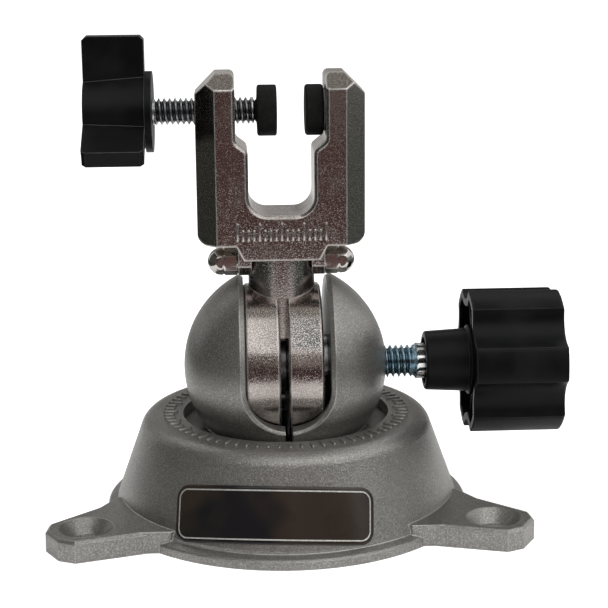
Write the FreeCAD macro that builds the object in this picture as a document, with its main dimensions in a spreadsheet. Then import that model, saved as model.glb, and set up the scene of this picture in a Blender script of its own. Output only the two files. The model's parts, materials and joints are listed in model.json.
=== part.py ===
import FreeCAD, Part
import os
from math import cos, radians, sin, sqrt
from types import SimpleNamespace

import Sketcher
from FreeCAD import Vector

# A small vise on a clamped ball, in millimetres. The bench plane is z = 0, +Z is up, the middle of
# the round base is the origin, the front faces -Y and the lock knob stands out along +X.
#
# The ball is split left and right. A drum, also split, turns in the slot between its halves about X,
# and holds the round post of the U-shaped head. The lock stud presses a disc on the drum's end, which
# pinches the post, the drum and the ball's halves together, and lifts them against the base's lip.

doc = FreeCAD.newDocument("BallVise")

drivingSizes = {
    # base casting, from the ball outward: lip, bearing ring, top rim, cone, cove and foot
    "baseHeight": 24.0,
    "lipGap": 0.6,
    "lipOverhang": 3.2,
    "lipThickness": 2.6,
    "bearingWall": 3.0,
    "bearingDepth": 11.5,
    "topRimWidth": 3.0,
    "coneSpread": 7.3,
    "coveDepth": 2.3,
    "coveHeight": 1.3,
    "footHeight": 2.3,
    "footBevel": 0.4,
    "shoulderRound": 4.0,
    "shellWall": 3.4,
    "ceilingThickness": 3.2,
    "ribCount": 6,
    "ribThickness": 2.6,
    "ribFootHeight": 6.0,
    # base ears, each an outline that narrows from its root in the foot to its tip beyond the hole
    "earCount": 3,
    "earBoltCircle": 109.54,
    "earThickness": 5.2,
    "earHoleRadius": 3.5,
    "earSinkRadius": 6.5,
    "earTipBeyondHole": 8.73,
    "earTipWidth": 7.0,
    "earNoseBeyondHole": 6.23,
    "earNoseWidth": 14.0,
    "earNeckBeyondFoot": 0.5,
    "earNeckWidth": 21.8,
    "earRootInFoot": 4.0,
    "earRootWidth": 27.0,
    "earEdge": 0.7,
    # ring and spring that hold the ball up against the lip
    "ringThickness": 1.5,
    "ringGrooveDepth": 1.4,
    "ringWidth": 3.3,
    "ringLugAngle": 34.0,
    "ringGapAngle": 26.0,
    "ringLugRadius": 2.3,
    "ringLugBite": 0.77,
    "ringLugHoleRadius": 0.9,
    "springThickness": 0.7,
    "springHubClearance": 1.1,
    "springRise": 0.4,
    # ball halves
    "ballRadius": 24.6,
    "ballRise": 14.6,
    "ballWall": 4.5,
    "splitGap": 1.7,
    "slotWidth": 20.0,
    "slotRoundDrop": 0.7,
    "slotBevel": 1.1,
    "slotBevelAngle": 184.0,
    "flangeThickness": 3.6,
    "flangeEdge": 0.5,
    "hubRadius": 19.5,
    "hubDrop": 3.8,
    "pinRadius": 1.25,
    "pinLength": 14.0,
    "pinInset": 4.8,
    # drum halves
    "drumSeam": 2.0,
    "drumRimChamfer": 0.5,
    "headAxisOffset": -0.7,
    "postBoreRise": 7.2,
    # thrust disc, lock stud and lock knob
    "discRadius": 7.0,
    "discThickness": 2.8,
    "discStandOut": 1.4,
    "discSocketDepth": 1.7,
    "studTipRadius": 2.5,
    "studRadius": 3.97,
    "studCollarRadius": 4.4,
    "studCollarLead": 2.2,
    "studCollarLength": 5.4,
    "studBuriedLength": 18.0,
    "lockStandOff": 9.3,
    "lockHubRadius": 7.45,
    "lockHubLength": 10.5,
    "lockHubRim": 1.55,
    "lockHubRecessDepth": 1.6,
    "lockHubEdge": 0.9,
    "lockKnobLength": 22.1,
    "lockKnobRadius": 18.2,
    "lockKnobWall": 1.9,
    "lockKnobPlate": 3.0,
    "lockKnobEdge": 1.1,
    "lobeCount": 6,
    "lobeTurn": 13.5,
    "fluteRadius": 4.5,
    "fluteOutset": 2.9,
    "lobeRound": 1.0,
    "lockRibThickness": 1.3,
    "lockRibSetback": 2.0,
    # head: the U-shaped yoke, its heights one above the other from the cross bolt up, and its post
    "boltRise": 25.8,
    "lugDrop": 3.0,
    "lugWall": 2.4125,
    "lugBite": 0.7875,
    "lugDepth": 10.0,
    "lugRound": 2.4,
    "footAboveBolt": 5.1,
    "tabDrop": 3.4,
    "tabTopWidth": 21.4,
    "tabBottomWidth": 17.9,
    "tabThickness": 2.6,
    "bossRise": 5.3,
    "bossWall": 0.8625,
    "saddleThickness": 7.3,
    "saddleRound": 4.5,
    "throatDepth": 17.3,
    "throatWidth": 15.4,
    "throatEdge": 0.7,
    "jawOpening": 21.05,
    "jawStepDrop": 2.2,
    "jawStepRound": 1.6,
    "clampRise": 6.4,
    "jawRise": 9.1,
    "jawSlope": 4.7,
    "jawInnerRound": 1.3,
    "jawTopBevelDepth": 5.0,
    "jawTopBevelHeight": 3.4,
    "yokeWidth": 39.7,
    "yokeFrontWall": 1.0625,
    "yokeBackDepth": 6.0,
    "yokeCornerRound": 2.5,
    "yokeSideBevel": 4.6,
    "postRadius": 7.9375,
    "postDepth": 2.3,
    "postFootClearance": 0.3,
    "postChamfer": 0.8,
    # cross bolt and its two acorn nuts
    "boltRadius": 2.0,
    "boltEndLength": 5.6,
    "nutAcrossFlats": 7.0,
    "nutHexLength": 3.0,
    "nutDomeRadius": 3.45,
    "nutLength": 7.3,
    # clamp: screw, knob and the two pads
    "padRadius": 6.0,
    "padGap": 6.7,
    "padEdge": 0.4,
    "fixedPadThickness": 4.225,
    "padSeatRadius": 5.0,
    "padSeatRise": 0.3,
    "padStemRadius": 2.2,
    "padStemLength": 4.5,
    "swivelPadThickness": 4.6,
    "swivelCollarLength": 1.7,
    "swivelCollarRadius": 4.6,
    "swivelNeckRadius": 3.4,
    "screwRadius": 3.175,
    "screwNoseRadius": 2.0,
    "screwNoseLength": 3.6,
    "screwBuriedLength": 12.0,
    "clampStandOff": 9.8,
    "clampFlangeLength": 1.7,
    "clampFlangeRadius": 9.5,
    "clampHubRadius": 7.6,
    "clampHubNeckRadius": 8.6,
    "wingCount": 3,
    "wingLength": 14.25,
    "wingThickness": 4.2,
    "wingReach": 17.8,
    "wingCorner": 0.9,
    # clearances
    "runningClearance": 0.05,
    "flangeSideClearance": 0.1,
    "lipClearance": 0.2,
    "drumClearance": 0.3,
    "sideClearance": 0.1,
    "discSideClearance": 0.3,
    "discRoom": 5.0,
    "shoulderClearance": 0.2,
    "overcut": 1.0,
}


# ---- sizes that can be read as numbers and bound as formulas ----------------------------------

class Size:
    """A number together with the spreadsheet formula that gives it."""

    def __init__(self, number, formula):
        self.number = number
        self.formula = formula

    def __add__(self, other):
        return Size(self.number + numberOf(other), f"({self.formula} + {formulaOf(other)})")

    def __radd__(self, other):
        return Size(numberOf(other) + self.number, f"({formulaOf(other)} + {self.formula})")

    def __sub__(self, other):
        return Size(self.number - numberOf(other), f"({self.formula} - {formulaOf(other)})")

    def __rsub__(self, other):
        return Size(numberOf(other) - self.number, f"({formulaOf(other)} - {self.formula})")

    def __mul__(self, other):
        return Size(self.number * numberOf(other), f"({self.formula} * {formulaOf(other)})")

    def __rmul__(self, other):
        return self * other

    def __truediv__(self, other):
        return Size(self.number / numberOf(other), f"({self.formula} / {formulaOf(other)})")

    def __rtruediv__(self, other):
        return Size(numberOf(other) / self.number, f"({formulaOf(other)} / {self.formula})")

    def __neg__(self):
        return self * -1


def numberOf(value):
    return value.number if isinstance(value, Size) else value


def formulaOf(value):
    return value.formula if isinstance(value, Size) else f"({value})"


def root(value):
    return Size(sqrt(value.number), f"sqrt({value.formula})")


def cosine(angle):
    return Size(cos(radians(numberOf(angle))), f"cos({formulaOf(angle)})")


def sine(angle):
    return Size(sin(radians(numberOf(angle))), f"sin({formulaOf(angle)})")


def besideHypotenuse(hypotenuse, leg):
    """The other leg of a right-angled triangle."""
    return root(hypotenuse * hypotenuse - leg * leg)


def makeSizes():
    """Writes the driving sizes to the sheet, one named cell each, and returns them by name."""
    sheet = doc.addObject("Spreadsheet::Sheet", "Sizes")
    named = {}
    for row, (name, number) in enumerate(drivingSizes.items(), start=1):
        sheet.set(f"A{row}", name)
        sheet.set(f"B{row}", str(number))
        sheet.setAlias(f"B{row}", name)
        named[name] = Size(number, f"Sizes.{name}")
    doc.recompute()
    return SimpleNamespace(**named)


size = makeSizes()


# ---- small helpers for bodies, sketches and features -----------------------------------------

def bind(target, **values):
    for name, value in values.items():
        target.setExpression(name, formulaOf(value))


def newBody(name):
    body = doc.addObject("PartDesign::Body", name)
    body.Label = name
    return body


def originItem(body, role):
    return next(item for item in body.Origin.OriginFeatures if item.Role == role)


def newSketch(body, plane, name, right=0, up=0, out=0):
    """A sketch on one of the body's own planes, its origin moved across, up and off that plane."""
    sketch = body.newObject("Sketcher::SketchObject", f"{body.Name}_{name}")
    sketch.AttachmentSupport = [(originItem(body, f"{plane}_Plane"), "")]
    sketch.MapMode = "FlatFace"
    sketch.setExpression("AttachmentOffset.Base.x", formulaOf(right))
    sketch.setExpression("AttachmentOffset.Base.y", formulaOf(up))
    sketch.setExpression("AttachmentOffset.Base.z", formulaOf(out))
    return sketch


def turnSketch(sketch, angle):
    """Tilts a sketch about its own horizontal axis."""
    base = sketch.AttachmentOffset.Base
    turned = FreeCAD.Rotation(Vector(1, 0, 0), numberOf(angle))
    sketch.AttachmentOffset = FreeCAD.Placement(base, turned)
    sketch.setExpression("AttachmentOffset.Rotation.Angle", formulaOf(angle))


def place(sketch, geometry, end, point, name):
    """Binds one point of a sketch to its two distances from the sketch's origin."""
    for kind, value in (("DistanceX", point[0]), ("DistanceY", point[1])):
        label = f"{name}{kind[-1]}"
        index = sketch.addConstraint(Sketcher.Constraint(kind, geometry, end, float(numberOf(value))))
        sketch.renameConstraint(index, label)
        sketch.setExpression(f"Constraints.{label}", formulaOf(value))


def drawOutline(sketch, points):
    """Draws a closed outline of straight sides through the given corners."""
    first = sketch.GeometryCount
    corners = [Vector(numberOf(across), numberOf(upward), 0) for across, upward in points]
    for start, end in zip(corners, corners[1:] + corners[:1]):
        sketch.addGeometry(Part.LineSegment(start, end), False)
    for index, point in enumerate(points):
        after = first + (index + 1) % len(points)
        sketch.addConstraint(Sketcher.Constraint("Coincident", first + index, 2, after, 1))
        place(sketch, first + index, 1, point, f"corner{first + index}")
    return sketch


def drawCircle(sketch, radius, centre=(0, 0)):
    middle = Vector(numberOf(centre[0]), numberOf(centre[1]), 0)
    index = sketch.addGeometry(Part.Circle(middle, Vector(0, 0, 1), numberOf(radius)), False)
    place(sketch, index, 3, centre, f"centre{index}")
    radiusIndex = sketch.addConstraint(Sketcher.Constraint("Radius", index, float(numberOf(radius))))
    sketch.renameConstraint(radiusIndex, f"radius{index}")
    sketch.setExpression(f"Constraints.radius{index}", formulaOf(radius))
    return sketch


def extrude(body, kind, sketch, length, bothWays=False, backwards=False):
    """Pads or pockets a sketch, and sees that the feature changed the solid."""
    before = body.Shape.Volume if body.Tip else 0
    feature = body.newObject(f"PartDesign::{kind}", f"{sketch.Name}_{kind}")
    feature.Profile = sketch
    bind(feature, Length=length)
    feature.Midplane = bothWays
    feature.Reversed = backwards
    return finished(body, feature, before)


def revolve(body, kind, sketch, axis, angle=360, bothWays=False):
    """Turns a sketch about its own H_Axis or V_Axis, adding (Revolution) or cutting (Groove)."""
    before = body.Shape.Volume if body.Tip else 0
    feature = body.newObject(f"PartDesign::{kind}", f"{sketch.Name}_{kind}")
    feature.Profile = sketch
    feature.ReferenceAxis = (sketch, [axis])
    bind(feature, Angle=angle)
    feature.Midplane = bothWays
    return finished(body, feature, before)


def finished(body, feature, volumeBefore):
    doc.recompute()
    if "Invalid" in feature.State or "Error" in feature.State:
        raise RuntimeError(f"{feature.Name} failed")
    if abs(body.Shape.Volume - volumeBefore) < 1e-6:
        raise RuntimeError(f"{feature.Name} changes nothing")
    return feature


def repeat(body, features, sketch, count):
    """Repeats features evenly about the normal axis of a sketch."""
    before = body.Shape.Volume
    pattern = body.newObject("PartDesign::PolarPattern", f"{features[-1].Name}_Pattern")
    pattern.Originals = features
    pattern.Axis = (sketch, ["N_Axis"])
    pattern.Angle = 360
    bind(pattern, Occurrences=count)
    body.Tip = pattern
    return finished(body, pattern, before)


def edgesWhere(body, test):
    """Names the edges that pass a test, leaving out a sphere's pole, which has no curve."""
    numbered = enumerate(body.Shape.Edges, start=1)
    return [f"Edge{index}" for index, edge in numbered if not edge.Degenerated and test(edge)]


def roundEdges(body, radius, test, name):
    before = body.Shape.Volume
    tip = body.Tip
    edges = edgesWhere(body, test)
    feature = body.newObject("PartDesign::Fillet", f"{body.Name}_{name}")
    feature.Base = (tip, edges)
    bind(feature, Radius=radius)
    return finished(body, feature, before)


def bevelEdges(body, width, test, name):
    before = body.Shape.Volume
    tip = body.Tip
    edges = edgesWhere(body, test)
    feature = body.newObject("PartDesign::Chamfer", f"{body.Name}_{name}")
    feature.Base = (tip, edges)
    bind(feature, Size=width)
    return finished(body, feature, before)


def near(first, second, tolerance=0.01):
    return abs(first - numberOf(second)) < tolerance


def isCircle(edge, radius):
    return isinstance(edge.Curve, Part.Circle) and near(edge.Curve.Radius, radius)


def middleOf(edge):
    return edge.valueAt((edge.FirstParameter + edge.LastParameter) / 2)


def isAlong(edge, direction):
    """Whether a straight edge runs along X, Y or Z, given as 0, 1 or 2."""
    if not isinstance(edge.Curve, Part.Line):
        return False
    return abs(abs(edge.Curve.Direction[direction]) - 1) < 1e-6


# ---- places that several pieces share ---------------------------------------------------------

lipRadius = size.ballRadius + size.lipGap
bearingRadius = lipRadius + size.lipOverhang
coneTopRadius = bearingRadius + size.bearingWall + size.topRimWidth
coneFootRadius = coneTopRadius + size.coneSpread
footRadius = coneFootRadius + size.coveDepth
coveTop = size.footHeight + size.coveHeight
coneSlope = size.coneSpread / (size.baseHeight - coveTop)
ceiling = size.baseHeight - size.ceilingThickness
lipBottom = size.baseHeight - size.lipThickness
bearingBottom = size.baseHeight - size.bearingDepth
holeReach = size.earBoltCircle / 2

flangeRadius = bearingRadius - size.flangeSideClearance
flangeTop = lipBottom - size.lipClearance
flangeBottom = flangeTop - size.flangeThickness
flangeMiddle = flangeBottom + size.flangeThickness / 2
springTop = flangeBottom - size.sideClearance
ringTop = springTop - size.springRise - size.springThickness
ringBottom = ringTop - size.ringThickness

ballHeight = flangeTop + size.ballRise
slotHalf = size.slotWidth / 2
slotRoundHeight = ballHeight - size.slotRoundDrop
cavityRadius = size.ballRadius - size.ballWall
drumRadius = cavityRadius - size.drumClearance
drumLeft = -slotHalf + size.sideClearance
seamLeft = size.headAxisOffset - size.drumSeam / 2
seamRight = size.headAxisOffset + size.drumSeam / 2
discLeft = slotHalf - size.discStandOut
drumRight = discLeft - size.sideClearance
discRight = discLeft + size.discThickness
studHoleRadius = size.studRadius + size.runningClearance
lockHubStart = size.ballRadius + size.lockStandOff
studCollarStart = lockHubStart - size.studCollarLead
studCollarEnd = studCollarStart + size.studCollarLength
studEnd = lockHubStart + size.studBuriedLength
lockKnobStart = lockHubStart + size.lockHubLength
lockKnobEnd = lockKnobStart + size.lockKnobLength

boltHeight = ballHeight + size.boltRise
yokeBottom = boltHeight + size.footAboveBolt
saddleHeight = yokeBottom + size.saddleThickness
jawStepTop = saddleHeight + size.throatDepth
clampHeight = jawStepTop + size.clampRise
jawTop = clampHeight + size.jawRise
tabBottom = yokeBottom - size.tabDrop
postBottom = ballHeight + size.postBoreRise + size.postFootClearance
postTop = yokeBottom + size.postDepth
yokeFront = size.postRadius + size.yokeFrontWall
yokeHalf = size.yokeWidth / 2
jawHalf = size.jawOpening / 2
throatHalf = size.throatWidth / 2
boltHoleRadius = size.boltRadius + size.runningClearance
nutSeat = size.postRadius + size.lugWall
fixedPadBack = size.headAxisOffset + jawHalf - size.padSeatRise
fixedPadFace = fixedPadBack - size.fixedPadThickness
swivelPadFace = fixedPadFace - size.padGap
swivelPadBack = swivelPadFace - size.swivelPadThickness
swivelCollarBack = swivelPadBack - size.swivelCollarLength
screwShoulder = swivelCollarBack - size.shoulderClearance
screwNoseEnd = screwShoulder + size.screwNoseLength
clampFlangeEnd = size.headAxisOffset - yokeHalf - size.clampStandOff
clampFlangeStart = clampFlangeEnd - size.clampFlangeLength
clampKnobEnd = clampFlangeStart - size.wingLength


# ---- base -------------------------------------------------------------------------------------

def makeBaseCasting():
    """A hollow cone with a lip at the top, a bearing ring hung inside it and three bolted ears."""
    body = newBody("base_casting")
    profile = newSketch(body, "XZ", "outside")
    drawOutline(profile, [
        (0, 0),
        (footRadius, 0),
        (footRadius, size.footHeight - size.footBevel),
        (footRadius - size.footBevel, size.footHeight),
        (coneFootRadius, size.footHeight + size.coveHeight / 2),
        (coneFootRadius, coveTop),
        (coneTopRadius, size.baseHeight),
        (0, size.baseHeight),
    ])
    revolve(body, "Revolution", profile, "V_Axis")
    roundEdges(body, size.shoulderRound, lambda edge: isCircle(edge, coneTopRadius), "shoulder")

    outline = newSketch(body, "XY", "ear")
    earRoot = footRadius - size.earRootInFoot
    side = [
        (size.earRootWidth / 2, earRoot - size.shellWall),
        (size.earRootWidth / 2, earRoot),
        (size.earNeckWidth / 2, footRadius + size.earNeckBeyondFoot),
        (size.earNoseWidth / 2, holeReach + size.earNoseBeyondHole),
        (size.earTipWidth / 2, holeReach + size.earTipBeyondHole),
    ]
    drawOutline(outline, side + [(-across, reach) for across, reach in reversed(side)])
    ear = extrude(body, "Pad", outline, size.earThickness)
    hole = newSketch(body, "XY", "earHole")
    drawCircle(hole, size.earHoleRadius, (0, holeReach))
    bore = extrude(body, "Pocket", hole, size.earThickness + size.overcut, backwards=True)
    sink = newSketch(body, "YZ", "earSink", right=holeReach)
    sinkDepth = size.earSinkRadius - size.earHoleRadius
    drawOutline(sink, [
        (0, size.earThickness - sinkDepth),
        (size.earHoleRadius, size.earThickness - sinkDepth),
        (size.earSinkRadius, size.earThickness),
        (size.earSinkRadius, size.earThickness + size.overcut),
        (0, size.earThickness + size.overcut),
    ])
    countersink = revolve(body, "Groove", sink, "V_Axis")
    repeat(body, [ear, bore, countersink], outline, size.earCount)
    bevelEdges(body, size.earEdge, lambda edge: isEarEdge(edge), "earEdges")

    innerFoot = coneFootRadius - size.shellWall
    innerTop = coneTopRadius - size.shellWall + coneSlope * size.ceilingThickness
    bearingOuter = bearingRadius + size.bearingWall
    grooveRadius = bearingRadius + size.ringGrooveDepth
    grooveRoom = size.ringThickness + size.sideClearance
    core = newSketch(body, "XZ", "core")
    drawOutline(core, [
        (0, -size.overcut),
        (innerFoot, -size.overcut),
        (innerFoot, coveTop),
        (innerTop, ceiling),
        (bearingOuter, ceiling),
        (bearingOuter, bearingBottom),
        (bearingRadius, bearingBottom),
        (bearingRadius, ringTop - grooveRoom),
        (grooveRadius, ringTop - grooveRoom),
        (grooveRadius, ringTop),
        (bearingRadius, ringTop),
        (bearingRadius, lipBottom),
        (lipRadius, lipBottom),
        (lipRadius, size.baseHeight + size.overcut),
        (0, size.baseHeight + size.overcut),
    ])
    revolve(body, "Groove", core, "V_Axis")

    ribRoot = bearingOuter - size.ringGrooveDepth / 2
    ribBite = size.shellWall / 2
    rib = newSketch(body, "XZ", "rib")
    ribFoot = innerFoot + ribBite - coneSlope * (size.ribFootHeight - coveTop)
    drawOutline(rib, [
        (ribRoot, bearingBottom),
        (ribRoot, ceiling + ribBite / 2),
        (innerTop + ribBite / 2, ceiling + ribBite / 2),
        (ribFoot, size.ribFootHeight),
    ])
    web = extrude(body, "Pad", rib, size.ribThickness, bothWays=True)
    repeat(body, [web], outline, size.ribCount)
    return body


def isEarEdge(edge):
    """Whether an edge is one of the straight ones round an ear's top, outside the foot."""
    if not isinstance(edge.Curve, Part.Line):
        return False
    middle = middleOf(edge)
    return near(middle.z, size.earThickness) and sqrt(middle.x ** 2 + middle.y ** 2) > numberOf(footRadius)


def makeRetainingRing():
    """An internal snap ring with a gap at the back and a lug with a hole at each end."""
    body = newBody("retaining_ring")
    outerRadius = bearingRadius + size.ringGrooveDepth - size.sideClearance
    innerRadius = outerRadius - size.ringWidth
    ring = newSketch(body, "XY", "ring", out=ringBottom)
    drawCircle(ring, outerRadius)
    drawCircle(ring, innerRadius)
    extrude(body, "Pad", ring, size.ringThickness)
    lugTurn = size.ringLugAngle / 2 + 90
    lugReach = innerRadius - size.ringLugBite
    for side in (-1, 1):
        centre = (side * (lugReach * cosine(lugTurn)), lugReach * sine(lugTurn))
        lug = newSketch(body, "XY", f"lug{side + 1}", out=ringBottom)
        drawCircle(lug, size.ringLugRadius, centre)
        extrude(body, "Pad", lug, size.ringThickness)
        eye = newSketch(body, "XY", f"eye{side + 1}", out=ringBottom)
        drawCircle(eye, size.ringLugHoleRadius, centre)
        extrude(body, "Pocket", eye, size.ringThickness + size.overcut, backwards=True)
    gapTurn = size.ringGapAngle / 2
    gapReach = (outerRadius + size.overcut) / cosine(gapTurn)
    gap = newSketch(body, "XY", "gap", out=ringBottom)
    drawOutline(gap, [
        (0, 0),
        (gapReach * sine(gapTurn), gapReach * cosine(gapTurn)),
        (-gapReach * sine(gapTurn), gapReach * cosine(gapTurn)),
    ])
    extrude(body, "Pocket", gap, size.ringThickness + size.overcut, backwards=True)
    return body


def makeSpringWasher():
    """A shallow cone that stands on the retaining ring and pushes the ball's flange up."""
    body = newBody("spring_washer")
    innerRadius = size.hubRadius + size.springHubClearance
    outerRadius = flangeRadius - size.lipClearance
    profile = newSketch(body, "XZ", "profile")
    drawOutline(profile, [
        (innerRadius, springTop - size.springThickness),
        (outerRadius, ringTop),
        (outerRadius, ringTop + size.springThickness),
        (innerRadius, springTop),
    ])
    revolve(body, "Revolution", profile, "V_Axis")
    return body


# ---- ball ---------------------------------------------------------------------------------------

def makeBallHalf(name, side):
    """Half of the slotted ball with its flange, on the side of the split given by -1 or 1."""
    body = newBody(name)
    topHeight = ballHeight + size.ballRadius
    neckRadius = besideHypotenuse(size.ballRadius, size.ballRise)
    hubBottom = flangeBottom - size.hubDrop
    profile = newSketch(body, "XZ", "profile")
    corners = [
        (side * neckRadius, flangeTop),
        (side * flangeRadius, flangeTop),
        (side * flangeRadius, flangeBottom),
        (side * size.hubRadius, flangeBottom),
        (side * size.hubRadius, hubBottom),
        (0, hubBottom),
        (0, topHeight),
    ]
    drawBallProfile(profile, corners, side)
    revolve(body, "Revolution", profile, "V_Axis", 180, bothWays=True)
    bevelEdges(body, size.flangeEdge, lambda edge: isCircle(edge, flangeRadius), "flangeEdge")

    split = newSketch(body, "XZ", "split")
    halfGap = side * size.splitGap / 2
    drawOutline(split, [
        (-halfGap, 0),
        (halfGap, 0),
        (halfGap, topHeight + size.overcut),
        (-halfGap, topHeight + size.overcut),
    ])
    widthToCut = 2 * (flangeRadius + size.overcut)
    extrude(body, "Pocket", split, widthToCut, bothWays=True)

    slotRound = newSketch(body, "XZ", "slotRound", up=slotRoundHeight)
    drawCircle(slotRound, slotHalf)
    extrude(body, "Pocket", slotRound, widthToCut, bothWays=True)
    slot = newSketch(body, "XZ", "slot")
    drawOutline(slot, [
        (0, slotRoundHeight),
        (side * slotHalf, slotRoundHeight),
        (side * slotHalf, topHeight + size.overcut),
        (0, topHeight + size.overcut),
    ])
    extrude(body, "Pocket", slot, widthToCut, bothWays=True)
    cavity = newSketch(body, "YZ", "cavity", up=ballHeight)
    drawCircle(cavity, cavityRadius)
    extrude(body, "Pocket", cavity, slotHalf, backwards=side > 0)

    cutSlotBevels(body, side)
    pinHole = newSketch(body, "YZ", "pinHoles", up=flangeMiddle)
    pinHoleRadius = size.pinRadius if side < 0 else size.pinRadius + size.runningClearance
    for way in (-1, 1):
        drawCircle(pinHole, pinHoleRadius, (way * (flangeRadius - size.pinInset), 0))
    extrude(body, "Pocket", pinHole, size.pinLength / 2 + size.sideClearance, backwards=side > 0)
    if side > 0:
        room = newSketch(body, "YZ", "discRoom", up=ballHeight)
        drawCircle(room, size.discRadius + size.discSideClearance)
        extrude(body, "Pocket", room, slotHalf + size.discRoom, backwards=True)
        studHole = newSketch(body, "YZ", "studHole", up=ballHeight)
        drawCircle(studHole, studHoleRadius)
        extrude(body, "Pocket", studHole, size.ballRadius + size.overcut, backwards=True)
    return body


def drawBallProfile(sketch, corners, side):
    """Straight sides through the corners, closed by the ball's arc from the last to the first."""
    points = [Vector(numberOf(across), numberOf(upward), 0) for across, upward in corners]
    for start, end in zip(points, points[1:]):
        sketch.addGeometry(Part.LineSegment(start, end), False)
    lines = len(points) - 1
    for index in range(lines):
        place(sketch, index, 1, corners[index], f"corner{index}")
        if index + 1 < lines:
            sketch.addConstraint(Sketcher.Constraint("Coincident", index, 2, index + 1, 1))
    place(sketch, lines - 1, 2, corners[-1], "top")
    centre = Vector(0, ballHeight.number, 0)
    middle = centre + Vector(side, 0, 0) * size.ballRadius.number
    arc = sketch.addGeometry(Part.Arc(points[-1], middle, points[0]), False)
    onRight = side > 0
    sketch.addConstraint(Sketcher.Constraint("Coincident", arc, 2 if onRight else 1, lines - 1, 2))
    sketch.addConstraint(Sketcher.Constraint("Coincident", arc, 1 if onRight else 2, 0, 1))
    index = sketch.addConstraint(Sketcher.Constraint("Radius", arc, size.ballRadius.number))
    sketch.renameConstraint(index, "ballRadius")
    bind(sketch, **{"Constraints.ballRadius": size.ballRadius})


def cutSlotBevels(body, side):
    """Breaks the slot's edge on the ball: a turned cut along its sides and one at each round end."""
    edgeReach = besideHypotenuse(size.ballRadius, slotHalf)
    wallReach = edgeReach - size.slotBevel
    outerReach = besideHypotenuse(size.ballRadius, slotHalf + size.slotBevel)
    clearReach = edgeReach + size.overcut
    sides = newSketch(body, "XZ", "slotSides", up=ballHeight)
    drawOutline(sides, [
        (side * slotHalf, wallReach),
        (side * (slotHalf + size.slotBevel), outerReach),
        (side * (slotHalf + size.slotBevel), clearReach),
        (side * slotHalf, clearReach),
    ])
    revolve(body, "Groove", sides, "H_Axis", size.slotBevelAngle, bothWays=True)
    ends = newSketch(body, "YZ", "slotEnds", up=slotRoundHeight)
    steepness = size.slotBevel / (outerReach - wallReach)
    clearRadius = slotHalf + steepness * (clearReach - wallReach)
    for way in (-1, 1):
        drawOutline(ends, [
            (way * wallReach, -slotHalf),
            (way * clearReach, -slotHalf),
            (way * clearReach, -clearRadius),
        ])
    revolve(body, "Groove", ends, "H_Axis", 180, bothWays=True)


def makeGuidePins():
    """Two dowels across the split, pressed in the left half's flange and sliding in the right's."""
    pins = []
    for way, name in ((-1, "frontPin"), (1, "backPin")):
        pin = doc.addObject("Part::Cylinder", name)
        bind(pin, Radius=size.pinRadius, Height=size.pinLength)
        pin.Placement.Rotation = FreeCAD.Rotation(Vector(0, 1, 0), 90)
        bind(pin, **{
            "Placement.Base.x": -size.pinLength / 2,
            "Placement.Base.y": way * (flangeRadius - size.pinInset),
            "Placement.Base.z": flangeMiddle,
        })
        pins.append(pin)
    both = doc.addObject("Part::Compound", "guide_pins")
    both.Links = pins
    both.Label = "guide_pins"
    return both


def makeDrumHalf(name, start, end):
    """Half of the drum that turns in the slot: a thick disc with half of the post's bore."""
    body = newBody(name)
    disc = newSketch(body, "YZ", "disc", up=ballHeight, out=start)
    drawCircle(disc, drumRadius)
    extrude(body, "Pad", disc, end - start)
    bevelEdges(body, size.drumRimChamfer, lambda edge: isCircle(edge, drumRadius), "rim")
    bore = newSketch(body, "XY", "bore", right=size.headAxisOffset, out=ballHeight + size.postBoreRise)
    drawCircle(bore, size.postRadius + size.runningClearance)
    extrude(body, "Pocket", bore, drumRadius, backwards=True)
    return body


# ---- lock ---------------------------------------------------------------------------------------

def makeThrustDisc():
    body = newBody("thrust_disc")
    socketRadius = size.studTipRadius + size.runningClearance
    profile = newSketch(body, "XZ", "profile", up=ballHeight)
    drawOutline(profile, [
        (discLeft, 0),
        (discLeft, size.discRadius),
        (discRight, size.discRadius),
        (discRight, socketRadius),
        (discRight - size.discSocketDepth, socketRadius),
        (discRight - size.discSocketDepth, 0),
    ])
    revolve(body, "Revolution", profile, "H_Axis")
    return body


def makeLockStud():
    """The lock's screw: a plain tip in the disc, the threaded length and a gripped collar."""
    body = newBody("lock_stud")
    tip = discRight - size.discSocketDepth + size.sideClearance
    shoulder = discRight + size.shoulderClearance
    profile = newSketch(body, "XZ", "profile", up=ballHeight)
    drawOutline(profile, [
        (tip, 0),
        (tip, size.studTipRadius),
        (shoulder, size.studTipRadius),
        (shoulder, size.studRadius),
        (studCollarStart, size.studRadius),
        (studCollarStart, size.studCollarRadius),
        (studCollarEnd, size.studCollarRadius),
        (studCollarEnd, size.studRadius),
        (studEnd, size.studRadius),
        (studEnd, 0),
    ])
    revolve(body, "Revolution", profile, "H_Axis")
    return body


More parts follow.
